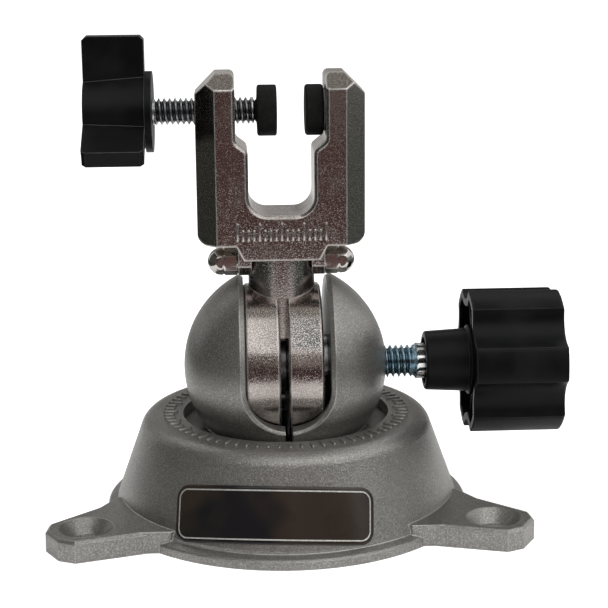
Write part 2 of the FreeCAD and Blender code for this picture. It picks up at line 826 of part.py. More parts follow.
def makeLockKnob():
    """A moulded knob, open toward the ball: six lobes, thin fluted walls, a long hub and ribs."""
    body = newBody("lock_knob")
    plateInside = lockKnobEnd - size.lockKnobPlate
    recessEnd = lockHubStart + size.lockHubRecessDepth
    recessRadius = size.lockHubRadius - size.lockHubRim
    profile = newSketch(body, "XZ", "cup", up=ballHeight)
    drawOutline(profile, [
        (lockHubStart + size.lockHubEdge, size.lockHubRadius),
        (plateInside, size.lockHubRadius),
        (plateInside, size.lockKnobRadius - size.lockKnobWall),
        (lockKnobStart, size.lockKnobRadius - size.lockKnobWall),
        (lockKnobStart, size.lockKnobRadius),
        (lockKnobEnd, size.lockKnobRadius),
        (lockKnobEnd, 0),
        (studEnd, 0),
        (studEnd, size.studRadius),
        (studCollarEnd, size.studRadius),
        (studCollarEnd, size.studCollarRadius),
        (recessEnd, size.studCollarRadius),
        (recessEnd, recessRadius),
        (lockHubStart, recessRadius),
        (lockHubStart, size.lockHubRadius - size.lockHubEdge),
    ])
    revolve(body, "Revolution", profile, "H_Axis")

    fluteTurn = size.lobeTurn + 180 / size.lobeCount
    fluteReach = size.lockKnobRadius + size.fluteOutset
    centre = (-fluteReach * cosine(fluteTurn), fluteReach * sine(fluteTurn))
    wall = newSketch(body, "YZ", "fluteWall", up=ballHeight, out=lockKnobStart)
    drawCircle(wall, size.fluteRadius + size.lockKnobWall, centre)
    walls = extrude(body, "Pad", wall, size.lockKnobLength)
    repeat(body, [walls], wall, size.lobeCount)
    hollow = newSketch(body, "YZ", "flute", up=ballHeight, out=lockKnobStart - size.overcut)
    drawCircle(hollow, size.fluteRadius, centre)
    flute = extrude(body, "Pocket", hollow, size.lockKnobLength + 2 * size.overcut, backwards=True)
    repeat(body, [flute], hollow, size.lobeCount)
    wide = fluteReach + size.fluteRadius + size.lockKnobWall + size.overcut
    trim = newSketch(body, "XZ", "trim", up=ballHeight)
    drawOutline(trim, [
        (lockKnobStart - size.overcut, size.lockKnobRadius),
        (lockKnobEnd - size.lockKnobEdge, size.lockKnobRadius),
        (lockKnobEnd, size.lockKnobRadius - size.lockKnobEdge),
        (lockKnobEnd + size.overcut, size.lockKnobRadius - size.lockKnobEdge),
        (lockKnobEnd + size.overcut, wide),
        (lockKnobStart - size.overcut, wide),
    ])
    revolve(body, "Groove", trim, "H_Axis")
    roundEdges(body, size.lobeRound, lambda edge: isLobeEdge(edge), "lobes")

    rib = newSketch(body, "XZ", "rib", up=ballHeight)
    turnSketch(rib, 90 - size.lobeTurn)
    ribOuter = size.lockKnobRadius - size.lockKnobWall / 2
    ribStart = lockKnobStart + size.lockRibSetback
    drawOutline(rib, [
        (ribStart, size.lockHubRadius - size.lockKnobWall / 2),
        (plateInside + size.lockKnobPlate / 2, size.lockHubRadius - size.lockKnobWall / 2),
        (plateInside + size.lockKnobPlate / 2, ribOuter),
        (ribStart, ribOuter),
    ])
    web = extrude(body, "Pad", rib, size.lockRibThickness, bothWays=True)
    repeat(body, [web], wall, size.lobeCount)
    return body


def isLobeEdge(edge):
    if not isAlong(edge, 0):
        return False
    middle = middleOf(edge)
    reach = sqrt(middle.y ** 2 + (middle.z - ballHeight.number) ** 2)
    return near(reach, size.lockKnobRadius)


# ---- head ---------------------------------------------------------------------------------------

def makeHeadYoke():
    """The cast U: two jaws above a saddle, a tab in front of the post and two bolt lugs beside it."""
    body = newBody("head_yoke")
    right = size.headAxisOffset
    stepBottom = jawStepTop - size.jawStepDrop
    outline = newSketch(body, "XZ", "outline", right=right, out=-size.yokeBackDepth)
    halfOutline = [
        (yokeHalf, yokeBottom),
        (yokeHalf, jawTop - size.jawSlope),
        (yokeHalf - size.jawSlope, jawTop),
        (jawHalf, jawTop),
        (jawHalf, jawStepTop),
        (throatHalf, stepBottom),
        (throatHalf, saddleHeight),
    ]
    drawOutline(outline, halfOutline + [(-across, height) for across, height in reversed(halfOutline)])
    extrude(body, "Pad", outline, yokeFront + size.yokeBackDepth)
    roundEdges(body, size.saddleRound, lambda edge: isYokeEdge(edge, throatHalf, saddleHeight), "saddle")
    roundEdges(body, size.jawStepRound, lambda edge: isYokeEdge(edge, jawHalf, jawStepTop), "stepTop")
    roundEdges(body, size.jawStepRound, lambda edge: isYokeEdge(edge, throatHalf, stepBottom), "stepFoot")
    roundEdges(body, size.jawInnerRound, lambda edge: isYokeEdge(edge, jawHalf, jawTop), "jawInner")
    roundEdges(body, size.yokeCornerRound, lambda edge: isYokeEdge(edge, yokeHalf, yokeBottom), "foot")
    bevelEdges(body, size.throatEdge, lambda edge: isThroatFront(edge), "throatFront")

    cutYokeBevels(body)

    tab = newSketch(body, "XZ", "tab", right=right, out=yokeFront - size.tabThickness)
    halfTab = [
        (size.tabBottomWidth / 2, tabBottom),
        (size.tabTopWidth / 2, yokeBottom),
        (size.tabTopWidth / 2, yokeBottom + size.overcut),
    ]
    drawOutline(tab, halfTab + [(-across, height) for across, height in reversed(halfTab)])
    extrude(body, "Pad", tab, size.tabThickness)
    boss = newSketch(body, "XY", "boss", right=right, out=yokeBottom)
    drawCircle(boss, size.postRadius + size.bossWall)
    extrude(body, "Pad", boss, size.bossRise)

    lugBottom = boltHeight - size.lugDrop
    for way in (-1, 1):
        inner = size.headAxisOffset + way * (size.postRadius - size.lugBite)
        lug = newSketch(body, "YZ", f"lug{way + 1}", out=inner)
        halfLug = size.lugDepth / 2
        drawOutline(lug, [
            (halfLug - size.lugRound, lugBottom),
            (halfLug, lugBottom + size.lugRound),
            (halfLug, yokeBottom + size.overcut),
            (-halfLug, yokeBottom + size.overcut),
            (-halfLug, lugBottom + size.lugRound),
            (-halfLug + size.lugRound, lugBottom),
        ])
        extrude(body, "Pad", lug, size.lugWall + size.lugBite, backwards=way < 0)
    seat = newSketch(body, "YZ", "padSeat", up=clampHeight, out=fixedPadBack)
    drawCircle(seat, size.padSeatRadius)
    extrude(body, "Pad", seat, size.padSeatRise + size.overcut)

    socket = newSketch(body, "XY", "postSocket", right=right, out=postTop)
    drawCircle(socket, size.postRadius)
    extrude(body, "Pocket", socket, postTop - postBottom)
    boltHole = newSketch(body, "YZ", "boltHole", up=boltHeight)
    drawCircle(boltHole, boltHoleRadius)
    extrude(body, "Pocket", boltHole, size.yokeWidth, bothWays=True)
    screwHole = newSketch(body, "YZ", "screwHole", up=clampHeight)
    drawCircle(screwHole, size.screwRadius + size.runningClearance)
    extrude(body, "Pocket", screwHole, yokeHalf - size.headAxisOffset + size.overcut)
    stemHole = newSketch(body, "YZ", "stemHole", up=clampHeight)
    drawCircle(stemHole, size.padStemRadius)
    extrude(body, "Pocket", stemHole, fixedPadBack + size.padStemLength, backwards=True)
    return body


def isYokeEdge(edge, across, height):
    """Whether an edge runs front to back at this distance beside the head's axis and this height."""
    if not isAlong(edge, 1):
        return False
    middle = middleOf(edge)
    beside = abs(middle.x - size.headAxisOffset.number)
    return near(beside, across) and near(middle.z, height)


def isThroatFront(edge):
    """Whether an edge lies on the yoke's front, round the throat from one jaw's step to the other's."""
    middle = middleOf(edge)
    inThroat = abs(middle.x - size.headAxisOffset.number) < numberOf(jawHalf) + 0.01
    below = middle.z < numberOf(jawTop - size.jawInnerRound)
    above = middle.z > numberOf(saddleHeight) - 0.01
    return near(middle.y, -yokeFront) and inThroat and above and below and not isAlong(edge, 1)


def cutYokeBevels(body):
    """Breaks the front: a wide bevel down each side and one over each jaw top."""
    front = -yokeFront
    bevel = size.yokeSideBevel
    for way in (-1, 1):
        edge = size.headAxisOffset + way * yokeHalf
        side = newSketch(body, "XY", f"sideBevel{way + 1}", out=tabBottom)
        drawOutline(side, [
            (edge - way * bevel, front),
            (edge - way * bevel, front - size.overcut),
            (edge + way * size.overcut, front - size.overcut),
            (edge + way * size.overcut, front + bevel + size.overcut),
            (edge, front + bevel),
        ])
        extrude(body, "Pocket", side, jawTop, backwards=True)
    top = newSketch(body, "YZ", "topBevel")
    steepness = size.jawTopBevelHeight / size.jawTopBevelDepth
    drawOutline(top, [
        (front - size.overcut, jawTop - size.jawTopBevelHeight - steepness * size.overcut),
        (front + size.jawTopBevelDepth + size.overcut, jawTop + steepness * size.overcut),
        (front - size.overcut, jawTop + steepness * size.overcut),
    ])
    extrude(body, "Pocket", top, size.yokeWidth + 2 * size.overcut, bothWays=True)


def makeHeadPost():
    """The round post that the drum pinches, pressed into the yoke and cross-drilled for the bolt."""
    body = newBody("head_post")
    rod = newSketch(body, "XY", "rod", right=size.headAxisOffset, out=postBottom)
    drawCircle(rod, size.postRadius)
    extrude(body, "Pad", rod, postTop - postBottom)
    bevelEdges(body, size.postChamfer, lambda edge: near(middleOf(edge).z, postBottom), "foot")
    boltHole = newSketch(body, "YZ", "boltHole", up=boltHeight)
    drawCircle(boltHole, boltHoleRadius)
    widthToCut = 2 * (size.postRadius + size.overcut - size.headAxisOffset)
    extrude(body, "Pocket", boltHole, widthToCut, bothWays=True)
    return body


def makePostBolt():
    bolt = doc.addObject("Part::Cylinder", "post_bolt")
    halfLength = nutSeat + size.boltEndLength
    bind(bolt, Radius=size.boltRadius, Height=2 * halfLength)
    bolt.Placement.Rotation = FreeCAD.Rotation(Vector(0, 1, 0), 90)
    bind(bolt, **{
        "Placement.Base.x": size.headAxisOffset - halfLength,
        "Placement.Base.z": boltHeight,
    })
    return bolt


def makeAcornNut(name, way):
    """A domed nut against a lug, its flats level, on the side given by -1 or 1."""
    body = newBody(name)
    seat = size.headAxisOffset + way * nutSeat
    hexagon = newSketch(body, "YZ", "hexagon", up=boltHeight, out=seat)
    corner = size.nutAcrossFlats / 2 / cosine(30)
    points = [(corner * cosine(60 * step), corner * sine(60 * step)) for step in range(6)]
    drawOutline(hexagon, points)
    extrude(body, "Pad", hexagon, size.nutHexLength, backwards=way < 0)
    dome = newSketch(body, "XZ", "dome", right=size.headAxisOffset, up=boltHeight)
    shoulder = nutSeat + size.nutLength - size.nutDomeRadius
    drawDome(dome, way, nutSeat, shoulder, size.nutDomeRadius)
    revolve(body, "Revolution", dome, "H_Axis")
    bore = newSketch(body, "YZ", "bore", up=boltHeight, out=seat)
    drawCircle(bore, size.boltRadius)
    extrude(body, "Pocket", bore, size.boltEndLength, backwards=way > 0)
    return body


def drawDome(sketch, way, start, shoulder, radius):
    """A rectangle from the start to the shoulder, closed by a quarter circle down to the axis."""
    corners = [
        (way * (shoulder + radius), 0),
        (way * start, 0),
        (way * start, radius),
        (way * shoulder, radius),
    ]
    points = [Vector(numberOf(across), numberOf(upward), 0) for across, upward in corners]
    for index in range(3):
        sketch.addGeometry(Part.LineSegment(points[index], points[index + 1]), False)
        place(sketch, index, 1, corners[index], f"corner{index}")
    sketch.addConstraint(Sketcher.Constraint("Coincident", 0, 2, 1, 1))
    sketch.addConstraint(Sketcher.Constraint("Coincident", 1, 2, 2, 1))
    place(sketch, 2, 2, corners[3], "shoulder")
    centre = Vector(way * numberOf(shoulder), 0, 0)
    turned = Vector(way * cos(radians(45)), sin(radians(45)), 0) * numberOf(radius)
    arc = sketch.addGeometry(Part.Arc(points[3], centre + turned, points[0]), False)
    onRight = way > 0
    sketch.addConstraint(Sketcher.Constraint("Coincident", arc, 2 if onRight else 1, 2, 2))
    sketch.addConstraint(Sketcher.Constraint("Coincident", arc, 1 if onRight else 2, 0, 1))
    index = sketch.addConstraint(Sketcher.Constraint("Radius", arc, float(numberOf(radius))))
    sketch.renameConstraint(index, "domeRadius")
    bind(sketch, **{"Constraints.domeRadius": radius})


# ---- clamp --------------------------------------------------------------------------------------

def makeFixedPad():
    body = newBody("fixed_pad")
    profile = newSketch(body, "XZ", "profile", up=clampHeight)
    drawOutline(profile, [
        (fixedPadFace, 0),
        (fixedPadFace, size.padRadius - size.padEdge),
        (fixedPadFace + size.padEdge, size.padRadius),
        (fixedPadBack - size.padEdge, size.padRadius),
        (fixedPadBack, size.padRadius - size.padEdge),
        (fixedPadBack, size.padStemRadius),
        (fixedPadBack + size.padStemLength, size.padStemRadius),
        (fixedPadBack + size.padStemLength, 0),
    ])
    revolve(body, "Revolution", profile, "H_Axis")
    return body


def makeSwivelPad():
    """The moving pad: it stays still while the screw's nose turns in its socket."""
    body = newBody("swivel_pad")
    socketRadius = size.screwNoseRadius + size.runningClearance
    socketEnd = screwNoseEnd + size.sideClearance
    profile = newSketch(body, "XZ", "profile", up=clampHeight)
    drawOutline(profile, [
        (swivelPadFace, 0),
        (swivelPadFace, size.padRadius - size.padEdge),
        (swivelPadFace - size.padEdge, size.padRadius),
        (swivelPadBack + size.padEdge, size.padRadius),
        (swivelPadBack, size.padRadius - size.padEdge),
        (swivelPadBack, size.swivelCollarRadius),
        (swivelCollarBack, size.swivelNeckRadius),
        (swivelCollarBack, socketRadius),
        (socketEnd, socketRadius),
        (socketEnd, 0),
    ])
    revolve(body, "Revolution", profile, "H_Axis")
    return body


def makeClampScrew():
    body = newBody("clamp_screw")
    buriedEnd = clampFlangeStart - size.screwBuriedLength
    profile = newSketch(body, "XZ", "profile", up=clampHeight)
    drawOutline(profile, [
        (buriedEnd, 0),
        (buriedEnd, size.screwRadius),
        (screwShoulder, size.screwRadius),
        (screwShoulder, size.screwNoseRadius),
        (screwNoseEnd, size.screwNoseRadius),
        (screwNoseEnd, 0),
    ])
    revolve(body, "Revolution", profile, "H_Axis")
    return body


def makeClampKnob():
    """A hub with a flange and three flat wings, moulded on the screw's end."""
    body = newBody("clamp_knob")
    buriedEnd = clampFlangeStart - size.screwBuriedLength
    profile = newSketch(body, "XZ", "hub", up=clampHeight)
    drawOutline(profile, [
        (clampKnobEnd, 0),
        (clampKnobEnd, size.clampHubRadius),
        (clampFlangeStart, size.clampHubNeckRadius),
        (clampFlangeStart, size.clampFlangeRadius),
        (clampFlangeEnd, size.clampFlangeRadius),
        (clampFlangeEnd, size.screwRadius),
        (buriedEnd, size.screwRadius),
        (buriedEnd, 0),
    ])
    revolve(body, "Revolution", profile, "H_Axis")
    wingRoot = (size.clampHubRadius + size.screwRadius) / 2
    wing = newSketch(body, "XZ", "wing", up=clampHeight)
    drawOutline(wing, [
        (clampKnobEnd, wingRoot),
        (clampKnobEnd, size.wingReach - size.wingCorner),
        (clampKnobEnd + size.wingCorner, size.wingReach),
        (clampFlangeStart - size.wingCorner, size.wingReach),
        (clampFlangeStart, size.wingReach - size.wingCorner),
        (clampFlangeStart, wingRoot),
    ])
    blade = extrude(body, "Pad", wing, size.wingThickness, bothWays=True)
    hubEnd = newSketch(body, "YZ", "wingAxis", up=clampHeight, out=clampKnobEnd)
    repeat(body, [blade], hubEnd, size.wingCount)
    return body


# ---- the whole vise -----------------------------------------------------------------------------

def makeAll():
    return [
        makeBaseCasting(),
        makeRetainingRing(),
        makeSpringWasher(),
        makeBallHalf("ball_half_left", -1),
        makeBallHalf("ball_half_right", 1),
        makeGuidePins(),
        makeDrumHalf("drum_half_left", drumLeft, seamLeft),
        makeDrumHalf("drum_half_right", seamRight, drumRight),
        makeThrustDisc(),
        makeLockStud(),
        makeLockKnob(),
        makeHeadYoke(),
        makeHeadPost(),
        makePostBolt(),
        makeAcornNut("acorn_nut_left", -1),
        makeAcornNut("acorn_nut_right", 1),
        makeFixedPad(),
        makeSwivelPad(),
        makeClampScrew(),
        makeClampKnob(),
    ]


def checkAndExport(pieces):
    """Stops on any failed object or bad shape, then writes one STEP file for each piece."""
    doc.recompute()
    for item in doc.Objects:
        if "Invalid" in item.State or "Error" in item.State:
            raise RuntimeError(f"{item.Name} is not up to date: {item.State}")
    for piece in pieces:
        if piece.Shape.isNull() or not piece.Shape.isValid():
            raise RuntimeError(f"{piece.Label} has no valid shape")
    os.makedirs("parts", exist_ok=True)
    for piece in pieces:
        piece.Shape.exportStep(f"parts/{piece.Label}.step")
        print(piece.Label, len(piece.Shape.Solids), round(piece.Shape.Volume, 1))


checkAndExport(makeAll())
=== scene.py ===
import json
import math
import bpy
import numpy as np
from mathutils import Matrix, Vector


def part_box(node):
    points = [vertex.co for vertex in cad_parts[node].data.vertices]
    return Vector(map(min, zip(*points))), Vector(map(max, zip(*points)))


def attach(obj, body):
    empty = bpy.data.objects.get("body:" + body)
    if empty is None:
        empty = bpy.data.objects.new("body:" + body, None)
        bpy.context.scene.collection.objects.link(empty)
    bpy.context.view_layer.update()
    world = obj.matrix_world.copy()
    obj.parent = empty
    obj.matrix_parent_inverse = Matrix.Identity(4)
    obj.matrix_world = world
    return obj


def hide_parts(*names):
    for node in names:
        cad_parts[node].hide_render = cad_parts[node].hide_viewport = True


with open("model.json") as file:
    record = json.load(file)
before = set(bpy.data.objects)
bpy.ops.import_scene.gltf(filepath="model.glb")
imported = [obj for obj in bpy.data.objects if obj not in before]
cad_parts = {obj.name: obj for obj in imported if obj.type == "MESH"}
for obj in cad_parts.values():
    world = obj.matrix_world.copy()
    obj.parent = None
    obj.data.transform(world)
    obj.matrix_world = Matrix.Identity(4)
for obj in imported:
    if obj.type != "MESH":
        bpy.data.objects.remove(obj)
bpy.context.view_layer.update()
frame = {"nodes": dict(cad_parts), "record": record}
scene = bpy.context.scene
mm = 0.001
fullTurn = 2 * math.pi
quarterTurn = 0.5 * math.pi

# Shapes are in millimetres in the frame's axes: X toward the lock knob, -Y to the front, Z up from the bench.
ballHeight = 35.8   # the lock screw's axis, through the ball's centre
clampHeight = 97.7  # the clamp screw's axis


def addMesh(name, points, faces, sharpAngle=30.0, depths=None):
    # Doubles are welded, triangles that close up are dropped, and the shell is turned outwards by the sign of
    # its volume. depths: one number a point, kept as the attribute "depth".
    keys = np.round(points * 2000).astype(np.int64)  # half a micron apart counts as one point
    _, first, index = np.unique(keys, axis=0, return_index=True, return_inverse=True)
    points = points[first] * mm
    faces = index.reshape(-1)[faces]
    a, b, c = faces.T
    faces = faces[(a != b) & (b != c) & (c != a)]
    a, b, c = (points[faces[:, k]] for k in range(3))
    if np.einsum("ij,ij->i", a, np.cross(b, c)).sum() < 0:
        faces = faces[:, ::-1]
    mesh = bpy.data.meshes.new(name)
    mesh.from_pydata(points.tolist(), [], faces.tolist())
    mesh.shade_smooth()
    mesh.set_sharp_from_angle(angle=math.radians(sharpAngle))
    if depths is not None:
        kept = mesh.attributes.new("depth", "FLOAT", "POINT")
        kept.data.foreach_set("value", depths[first].astype(np.float32))
    mesh.update()
    piece = bpy.data.objects.new(name, mesh)
    scene.collection.objects.link(piece)
    return piece


def gridFaces(rows, columns):
    # two triangles for each cell of a grid whose columns close on themselves
    row, column = np.meshgrid(np.arange(rows - 1), np.arange(columns), indexing="ij")
    here = (row * columns + column).ravel()
    beside = (row * columns + (column + 1) % columns).ravel()
    return np.concatenate([
        np.stack([here, beside, here + columns], axis=1),
        np.stack([beside, beside + columns, here + columns], axis=1),
    ])


def addShell(name, grid, sharpAngle=30.0, depths=None):
    # grid: rows x columns x 3, whose first and last rows are each one point or one line
    rows, columns, _ = grid.shape
    return addMesh(name, grid.reshape(-1, 3), gridFaces(rows, columns), sharpAngle, depths)


def roundAxis(xs, radius, height):
    # A surface round an axis along X at this height: the point at (x, angle) stands its radius away from the
    # axis, by the angle's cosine along Y and its sine along Z.
    angles = np.arange(radius.shape[1]) * fullTurn / radius.shape[1]
    return np.stack([np.broadcast_to(xs[:, None], radius.shape), radius * np.cos(angles),
                     height + radius * np.sin(angles)], axis=2)


def latheGrid(stations, height, around):
    # a profile of (x, radius) stations turned about the axis along X at this height
    xs, radii = np.array(stations, float).T
    return roundAxis(xs, np.tile(radii[:, None], around), height)


def addCapsules(name, starts, along, aside, upward, lengths, halfWidth, rise, sides=10, steps=4):
    # Rows of round-ended bars, each half sunk in its surface: an ellipse of halfWidth by rise carried along
    # the bar, drawn in at both ends by the sine of a quarter turn.
    swing = np.linspace(0, quarterTurn, steps)
    drawn = np.concatenate([np.sin(swing), np.sin(swing)[::-1]])
    nearEnd = halfWidth * (1 - np.cos(swing))
    reach = np.concatenate([np.tile(nearEnd, (len(lengths), 1)), lengths[:, None] - nearEnd[::-1]], axis=1)
    angles = np.arange(sides) * fullTurn / sides
    points = (starts[:, None, None] + along[:, None, None] * reach[:, :, None, None]
              + aside[:, None, None] * (halfWidth * drawn[:, None] * np.cos(angles))[None, :, :, None]
              + upward[:, None, None] * (rise * drawn[:, None] * np.sin(angles))[None, :, :, None])
    one = gridFaces(len(drawn), sides)
    faces = (np.arange(len(lengths))[:, None, None] * len(drawn) * sides + one[None]).reshape(-1, 3)
    return addMesh(name, points.reshape(-1, 3), faces, 80.0)


class Wire:
    # one socket in the tree at hand; an expression on it adds Math nodes
    tree = None

    def __init__(self, socket):
        self.socket = socket

    @staticmethod
    def make(kind, settings=None, values=None, out=0):
        node = Wire.tree.nodes.new(kind)
        for name, value in (settings or {}).items():
            setattr(node, name, value)
        for key, value in (values or {}).items():
            if isinstance(value, Wire):
                Wire.tree.links.new(value.socket, node.inputs[key])
            else:
                node.inputs[key].default_value = value
        return Wire(node.outputs[out]) if node.outputs else None

    @staticmethod
    def math(operation, *values):
        return Wire.make("ShaderNodeMath", {"operation": operation}, dict(enumerate(values)))

    def __add__(self, other): return Wire.math("ADD", self, other)
    def __radd__(self, other): return Wire.math("ADD", other, self)
    def __sub__(self, other): return Wire.math("SUBTRACT", self, other)
    def __rsub__(self, other): return Wire.math("SUBTRACT", other, self)
    def __mul__(self, other): return Wire.math("MULTIPLY", self, other)
    def __rmul__(self, other): return Wire.math("MULTIPLY", other, self)

    def step(self, low, high):
        # 0 below low, 1 above high, and smooth between
        return Wire.make("ShaderNodeMapRange", {"interpolation_type": "SMOOTHSTEP"},
                         {"Value": self, "From Min": low, "From Max": high})


def colour(values):
    return (*values, 1.0)


def mixColour(amount, low, high):
    # a Mix node's two colours are its inputs 6 and 7, and the mixed one is its output 2
    ends = [shade if isinstance(shade, Wire) else colour(shade) for shade in (low, high)]
    return Wire.make("ShaderNodeMix", {"data_type": "RGBA"}, {0: amount, 6: ends[0], 7: ends[1]}, 2)


def inMillimetres():
    place = Wire.make("ShaderNodeTexCoord", out="Object")
    return Wire.make("ShaderNodeVectorMath", {"operation": "SCALE"}, {0: place, "Scale": 1 / mm})


def stretched(place, scales):
    return Wire.make("ShaderNodeVectorMath", {"operation": "MULTIPLY"}, {0: place, 1: scales})


def noise(place, scale, detail=2.0, rough=0.5):
    return Wire.make("ShaderNodeTexNoise", None,
                     {"Vector": place, "Scale": scale, "Detail": detail, "Roughness": rough})


def roundedNormal(radius):
    return Wire.make("ShaderNodeBevel", {"samples": 6}, {"Radius": radius * mm})


def edges(bevelled, low, high):
    # how far the rounded normal leans from the face's own one
    own = Wire.make("ShaderNodeNewGeometry", out="Normal")
    lean = Wire.make("ShaderNodeVectorMath", {"operation": "DOT_PRODUCT"}, {0: bevelled, 1: own}, "Value")
    return (1.0 - lean).step(low, high)


def crannies(reach):
    # how far the surface is shut in by its own piece, from 0 in the open to 1 in a tight corner
    return 1.0 - Wire.make("ShaderNodeAmbientOcclusion", {"samples": 6, "only_local": True},
                           {"Distance": reach * mm}, "AO")


def bump(height, strength, depth, normal):
    return Wire.make("ShaderNodeBump", None,
                     {"Height": height, "Strength": strength, "Distance": depth * mm, "Normal": normal})


def clearTree(owner):
    owner.use_nodes = True
    owner.node_tree.nodes.clear()
    Wire.tree = owner.node_tree


def newMaterial(name, surface):
    # surface gives either a shader or the values of a Principled one's sockets
    material = bpy.data.materials.new(name)
    clearTree(material)
    shader = surface()
    if isinstance(shader, dict):
        shader = Wire.make("ShaderNodeBsdfPrincipled", None, shader)
    Wire.make("ShaderNodeOutputMaterial", None, {"Surface": shader})
    return material


# In the finishes below, scales are repeats in a millimetre, and depths, edges and reaches are in millimetres.
castPaint = {
    "base": (0.185, 0.179, 0.167), "light": (0.41, 0.405, 0.39), "wearAndHighlight": (0.66, 0.66, 0.64),
    "cornerShade": (0.06, 0.058, 0.052), "cornerShadeReach": 4.0, "cornerShadeAmount": 0.75, "metallic": 0.82, "rough": 0.33,
    "grain": 2.8, "grainDepth": 0.085, "grainShare": 0.8, "cloud": 0.05, "cloudShare": 0.2,
    "edge": 0.5, "wearSpot": 0.4,
}


def castShade():
    # silver paint over a sand-like skin: broad clouds, fine flakes, painted shade in corners, and brighter
    # edges
    v = castPaint
    place = inMillimetres()
    clouds = noise(place, v["cloud"], 3.0)
    flakes = noise(place, v["grain"], 2.0, 0.7)
    bevelled = roundedNormal(v["edge"])
    # the edges brighten in spots: partly rubbed wear, partly a painted highlight
    edgeWearAndHighlight = edges(bevelled, 0.015, 0.18) * noise(place, v["wearSpot"], 3.0).step(0.20, 0.5)
    lighter = clouds.step(0.3, 0.7) * v["cloudShare"] + flakes.step(0.40, 0.72) * v["grainShare"]
    body = mixColour(lighter, v["base"], v["light"])
    # painted shade: darker in corners and creases, where the piece shuts itself in
    body = mixColour(crannies(v["cornerShadeReach"]).step(0.25, 0.95) * v["cornerShadeAmount"], body, v["cornerShade"])
    return {
        "Base Color": mixColour(edgeWearAndHighlight, body, v["wearAndHighlight"]),
        "Metallic": v["metallic"],
        "Roughness": v["rough"] - 0.10 * flakes.step(0.5, 0.8) - 0.05 * edgeWearAndHighlight,
        "Normal": bump(flakes, 0.9, v["grainDepth"], bevelled),
    }


nickelPlate = {
    "base": (0.50, 0.455, 0.435), "dull": (0.33, 0.29, 0.275), "fleck": (0.70, 0.68, 0.65),
    "bright": (0.84, 0.83, 0.80), "cornerShade": (0.05, 0.045, 0.042), "cornerShadeReach": 2.5, "cornerShadeAmount": 0.8,
    "rough": 0.11, "pebble": 2.4, "pebbleDepth": 0.030, "flecksPerPebble": 1.7, "fleckAmount": 0.9,
    "patch": 0.12, "patchAmount": 0.35, "edge": 0.75, "edgeSmoothing": 0.8,
}


def nickelShade():
    # plating over a fine cast grain: pebbled like orange peel, flecked, dulled in patches, painted highlight
    # at edges
    v = nickelPlate
    place = inMillimetres()
    pebbles = noise(place, v["pebble"], 1.5, 0.5)
    flecks = noise(place, v["flecksPerPebble"] * v["pebble"], 1.0, 0.5)
    patches = noise(place, v["patch"], 2.0)
    bevelled = roundedNormal(v["edge"])
    # a painted highlight along the edges: brighter and less metallic there
    edgeWearAndHighlight = edges(bevelled, 0.012, 0.16)
    body = mixColour(flecks.step(0.40, 0.54), v["dull"], v["base"])
    body = mixColour(flecks.step(0.56, 0.68) * v["fleckAmount"], body, v["fleck"])
    body = mixColour(patches.step(0.40, 0.75) * v["patchAmount"], body, v["dull"])
    # painted shade: darker in corners and creases, where the piece shuts itself in
    body = mixColour(crannies(v["cornerShadeReach"]).step(0.3, 0.95) * v["cornerShadeAmount"], body, v["cornerShade"])
    grain = (0.55 * pebbles + 0.45 * flecks.step(0.56, 0.80)) * (1.0 - v["edgeSmoothing"] * edgeWearAndHighlight)
    return {
        "Base Color": mixColour(edgeWearAndHighlight, body, v["bright"]),
        "Metallic": 1.0 - 0.5 * edgeWearAndHighlight,
        "Roughness": v["rough"] + 0.10 * patches.step(0.4, 0.8) + 0.08 * pebbles,
        "Normal": bump(grain, 1.0, v["pebbleDepth"], bevelled),
    }


brightChrome = {
    "base": (0.62, 0.60, 0.57), "cloudy": (0.52, 0.50, 0.47), "cloud": 0.3, "cloudAmount": 0.3,
    "rough": 0.08, "rings": (6.0, 0.3, 0.3), "ringDepth": 0.02, "edge": 0.25,
}


def chromeShade():
    # polished dome nuts with faint turning rings
    v = brightChrome
    place = inMillimetres()
    rings = noise(stretched(place, v["rings"]), 1.0)
    clouds = noise(place, v["cloud"], 3.0).step(0.4, 0.7)
    return {
        "Base Color": mixColour(clouds * v["cloudAmount"], v["base"], v["cloudy"]),
        "Metallic": 1.0,
        "Roughness": v["rough"] + 0.08 * rings,
        "Normal": bump(rings, 0.2, v["ringDepth"], roundedNormal(v["edge"])),
    }


zincPlate = {
    "base": (0.56, 0.58, 0.59), "dull": (0.33, 0.34, 0.35), "root": (0.045, 0.046, 0.05), "rough": 0.22,
    "cloud": 0.5, "cloudAmount": 0.6, "rings": (9.0, 0.5, 0.5), "ringDepth": 0.02, "edge": 0.12,
}
blueZinc = dict(zincPlate, base=(0.44, 0.58, 0.66), dull=(0.22, 0.33, 0.40), root=(0.07, 0.115, 0.145),
                rough=0.20, collar=(0.86, 0.86, 0.86), collarFrom=31.7, collarFade=0.6)


def zincShade(v=zincPlate):
    # bright zinc, a little cloudy, with painted shade down in the thread, and fine turning marks round the
    # axis
    place = inMillimetres()
    rings = noise(stretched(place, v["rings"]), 1.0)
    cloudy = noise(place, v["cloud"], 3.0).step(0.4, 0.75)
    # painted shade in the thread's grooves and the collar's notches, read from the depth kept with the mesh
    threadGrooveShade = Wire.make("ShaderNodeAttribute", {"attribute_name": "depth"}, out="Fac").step(0.35, 1.0)
    body = mixColour(cloudy * v["cloudAmount"], v["base"], v["dull"])
    if "collar" in v:  # the toothed collar is left plain silver
        along = Wire.make("ShaderNodeSeparateXYZ", None, {0: place})
        body = mixColour(along.step(v["collarFrom"], v["collarFrom"] + v["collarFade"]), body, v["collar"])
    return {
        "Base Color": mixColour(threadGrooveShade, body, v["root"]),
        "Metallic": 1.0,
        "Roughness": v["rough"] + 0.12 * cloudy + 0.06 * rings,
        "Normal": bump(rings, 0.3, v["ringDepth"], roundedNormal(v["edge"])),
    }


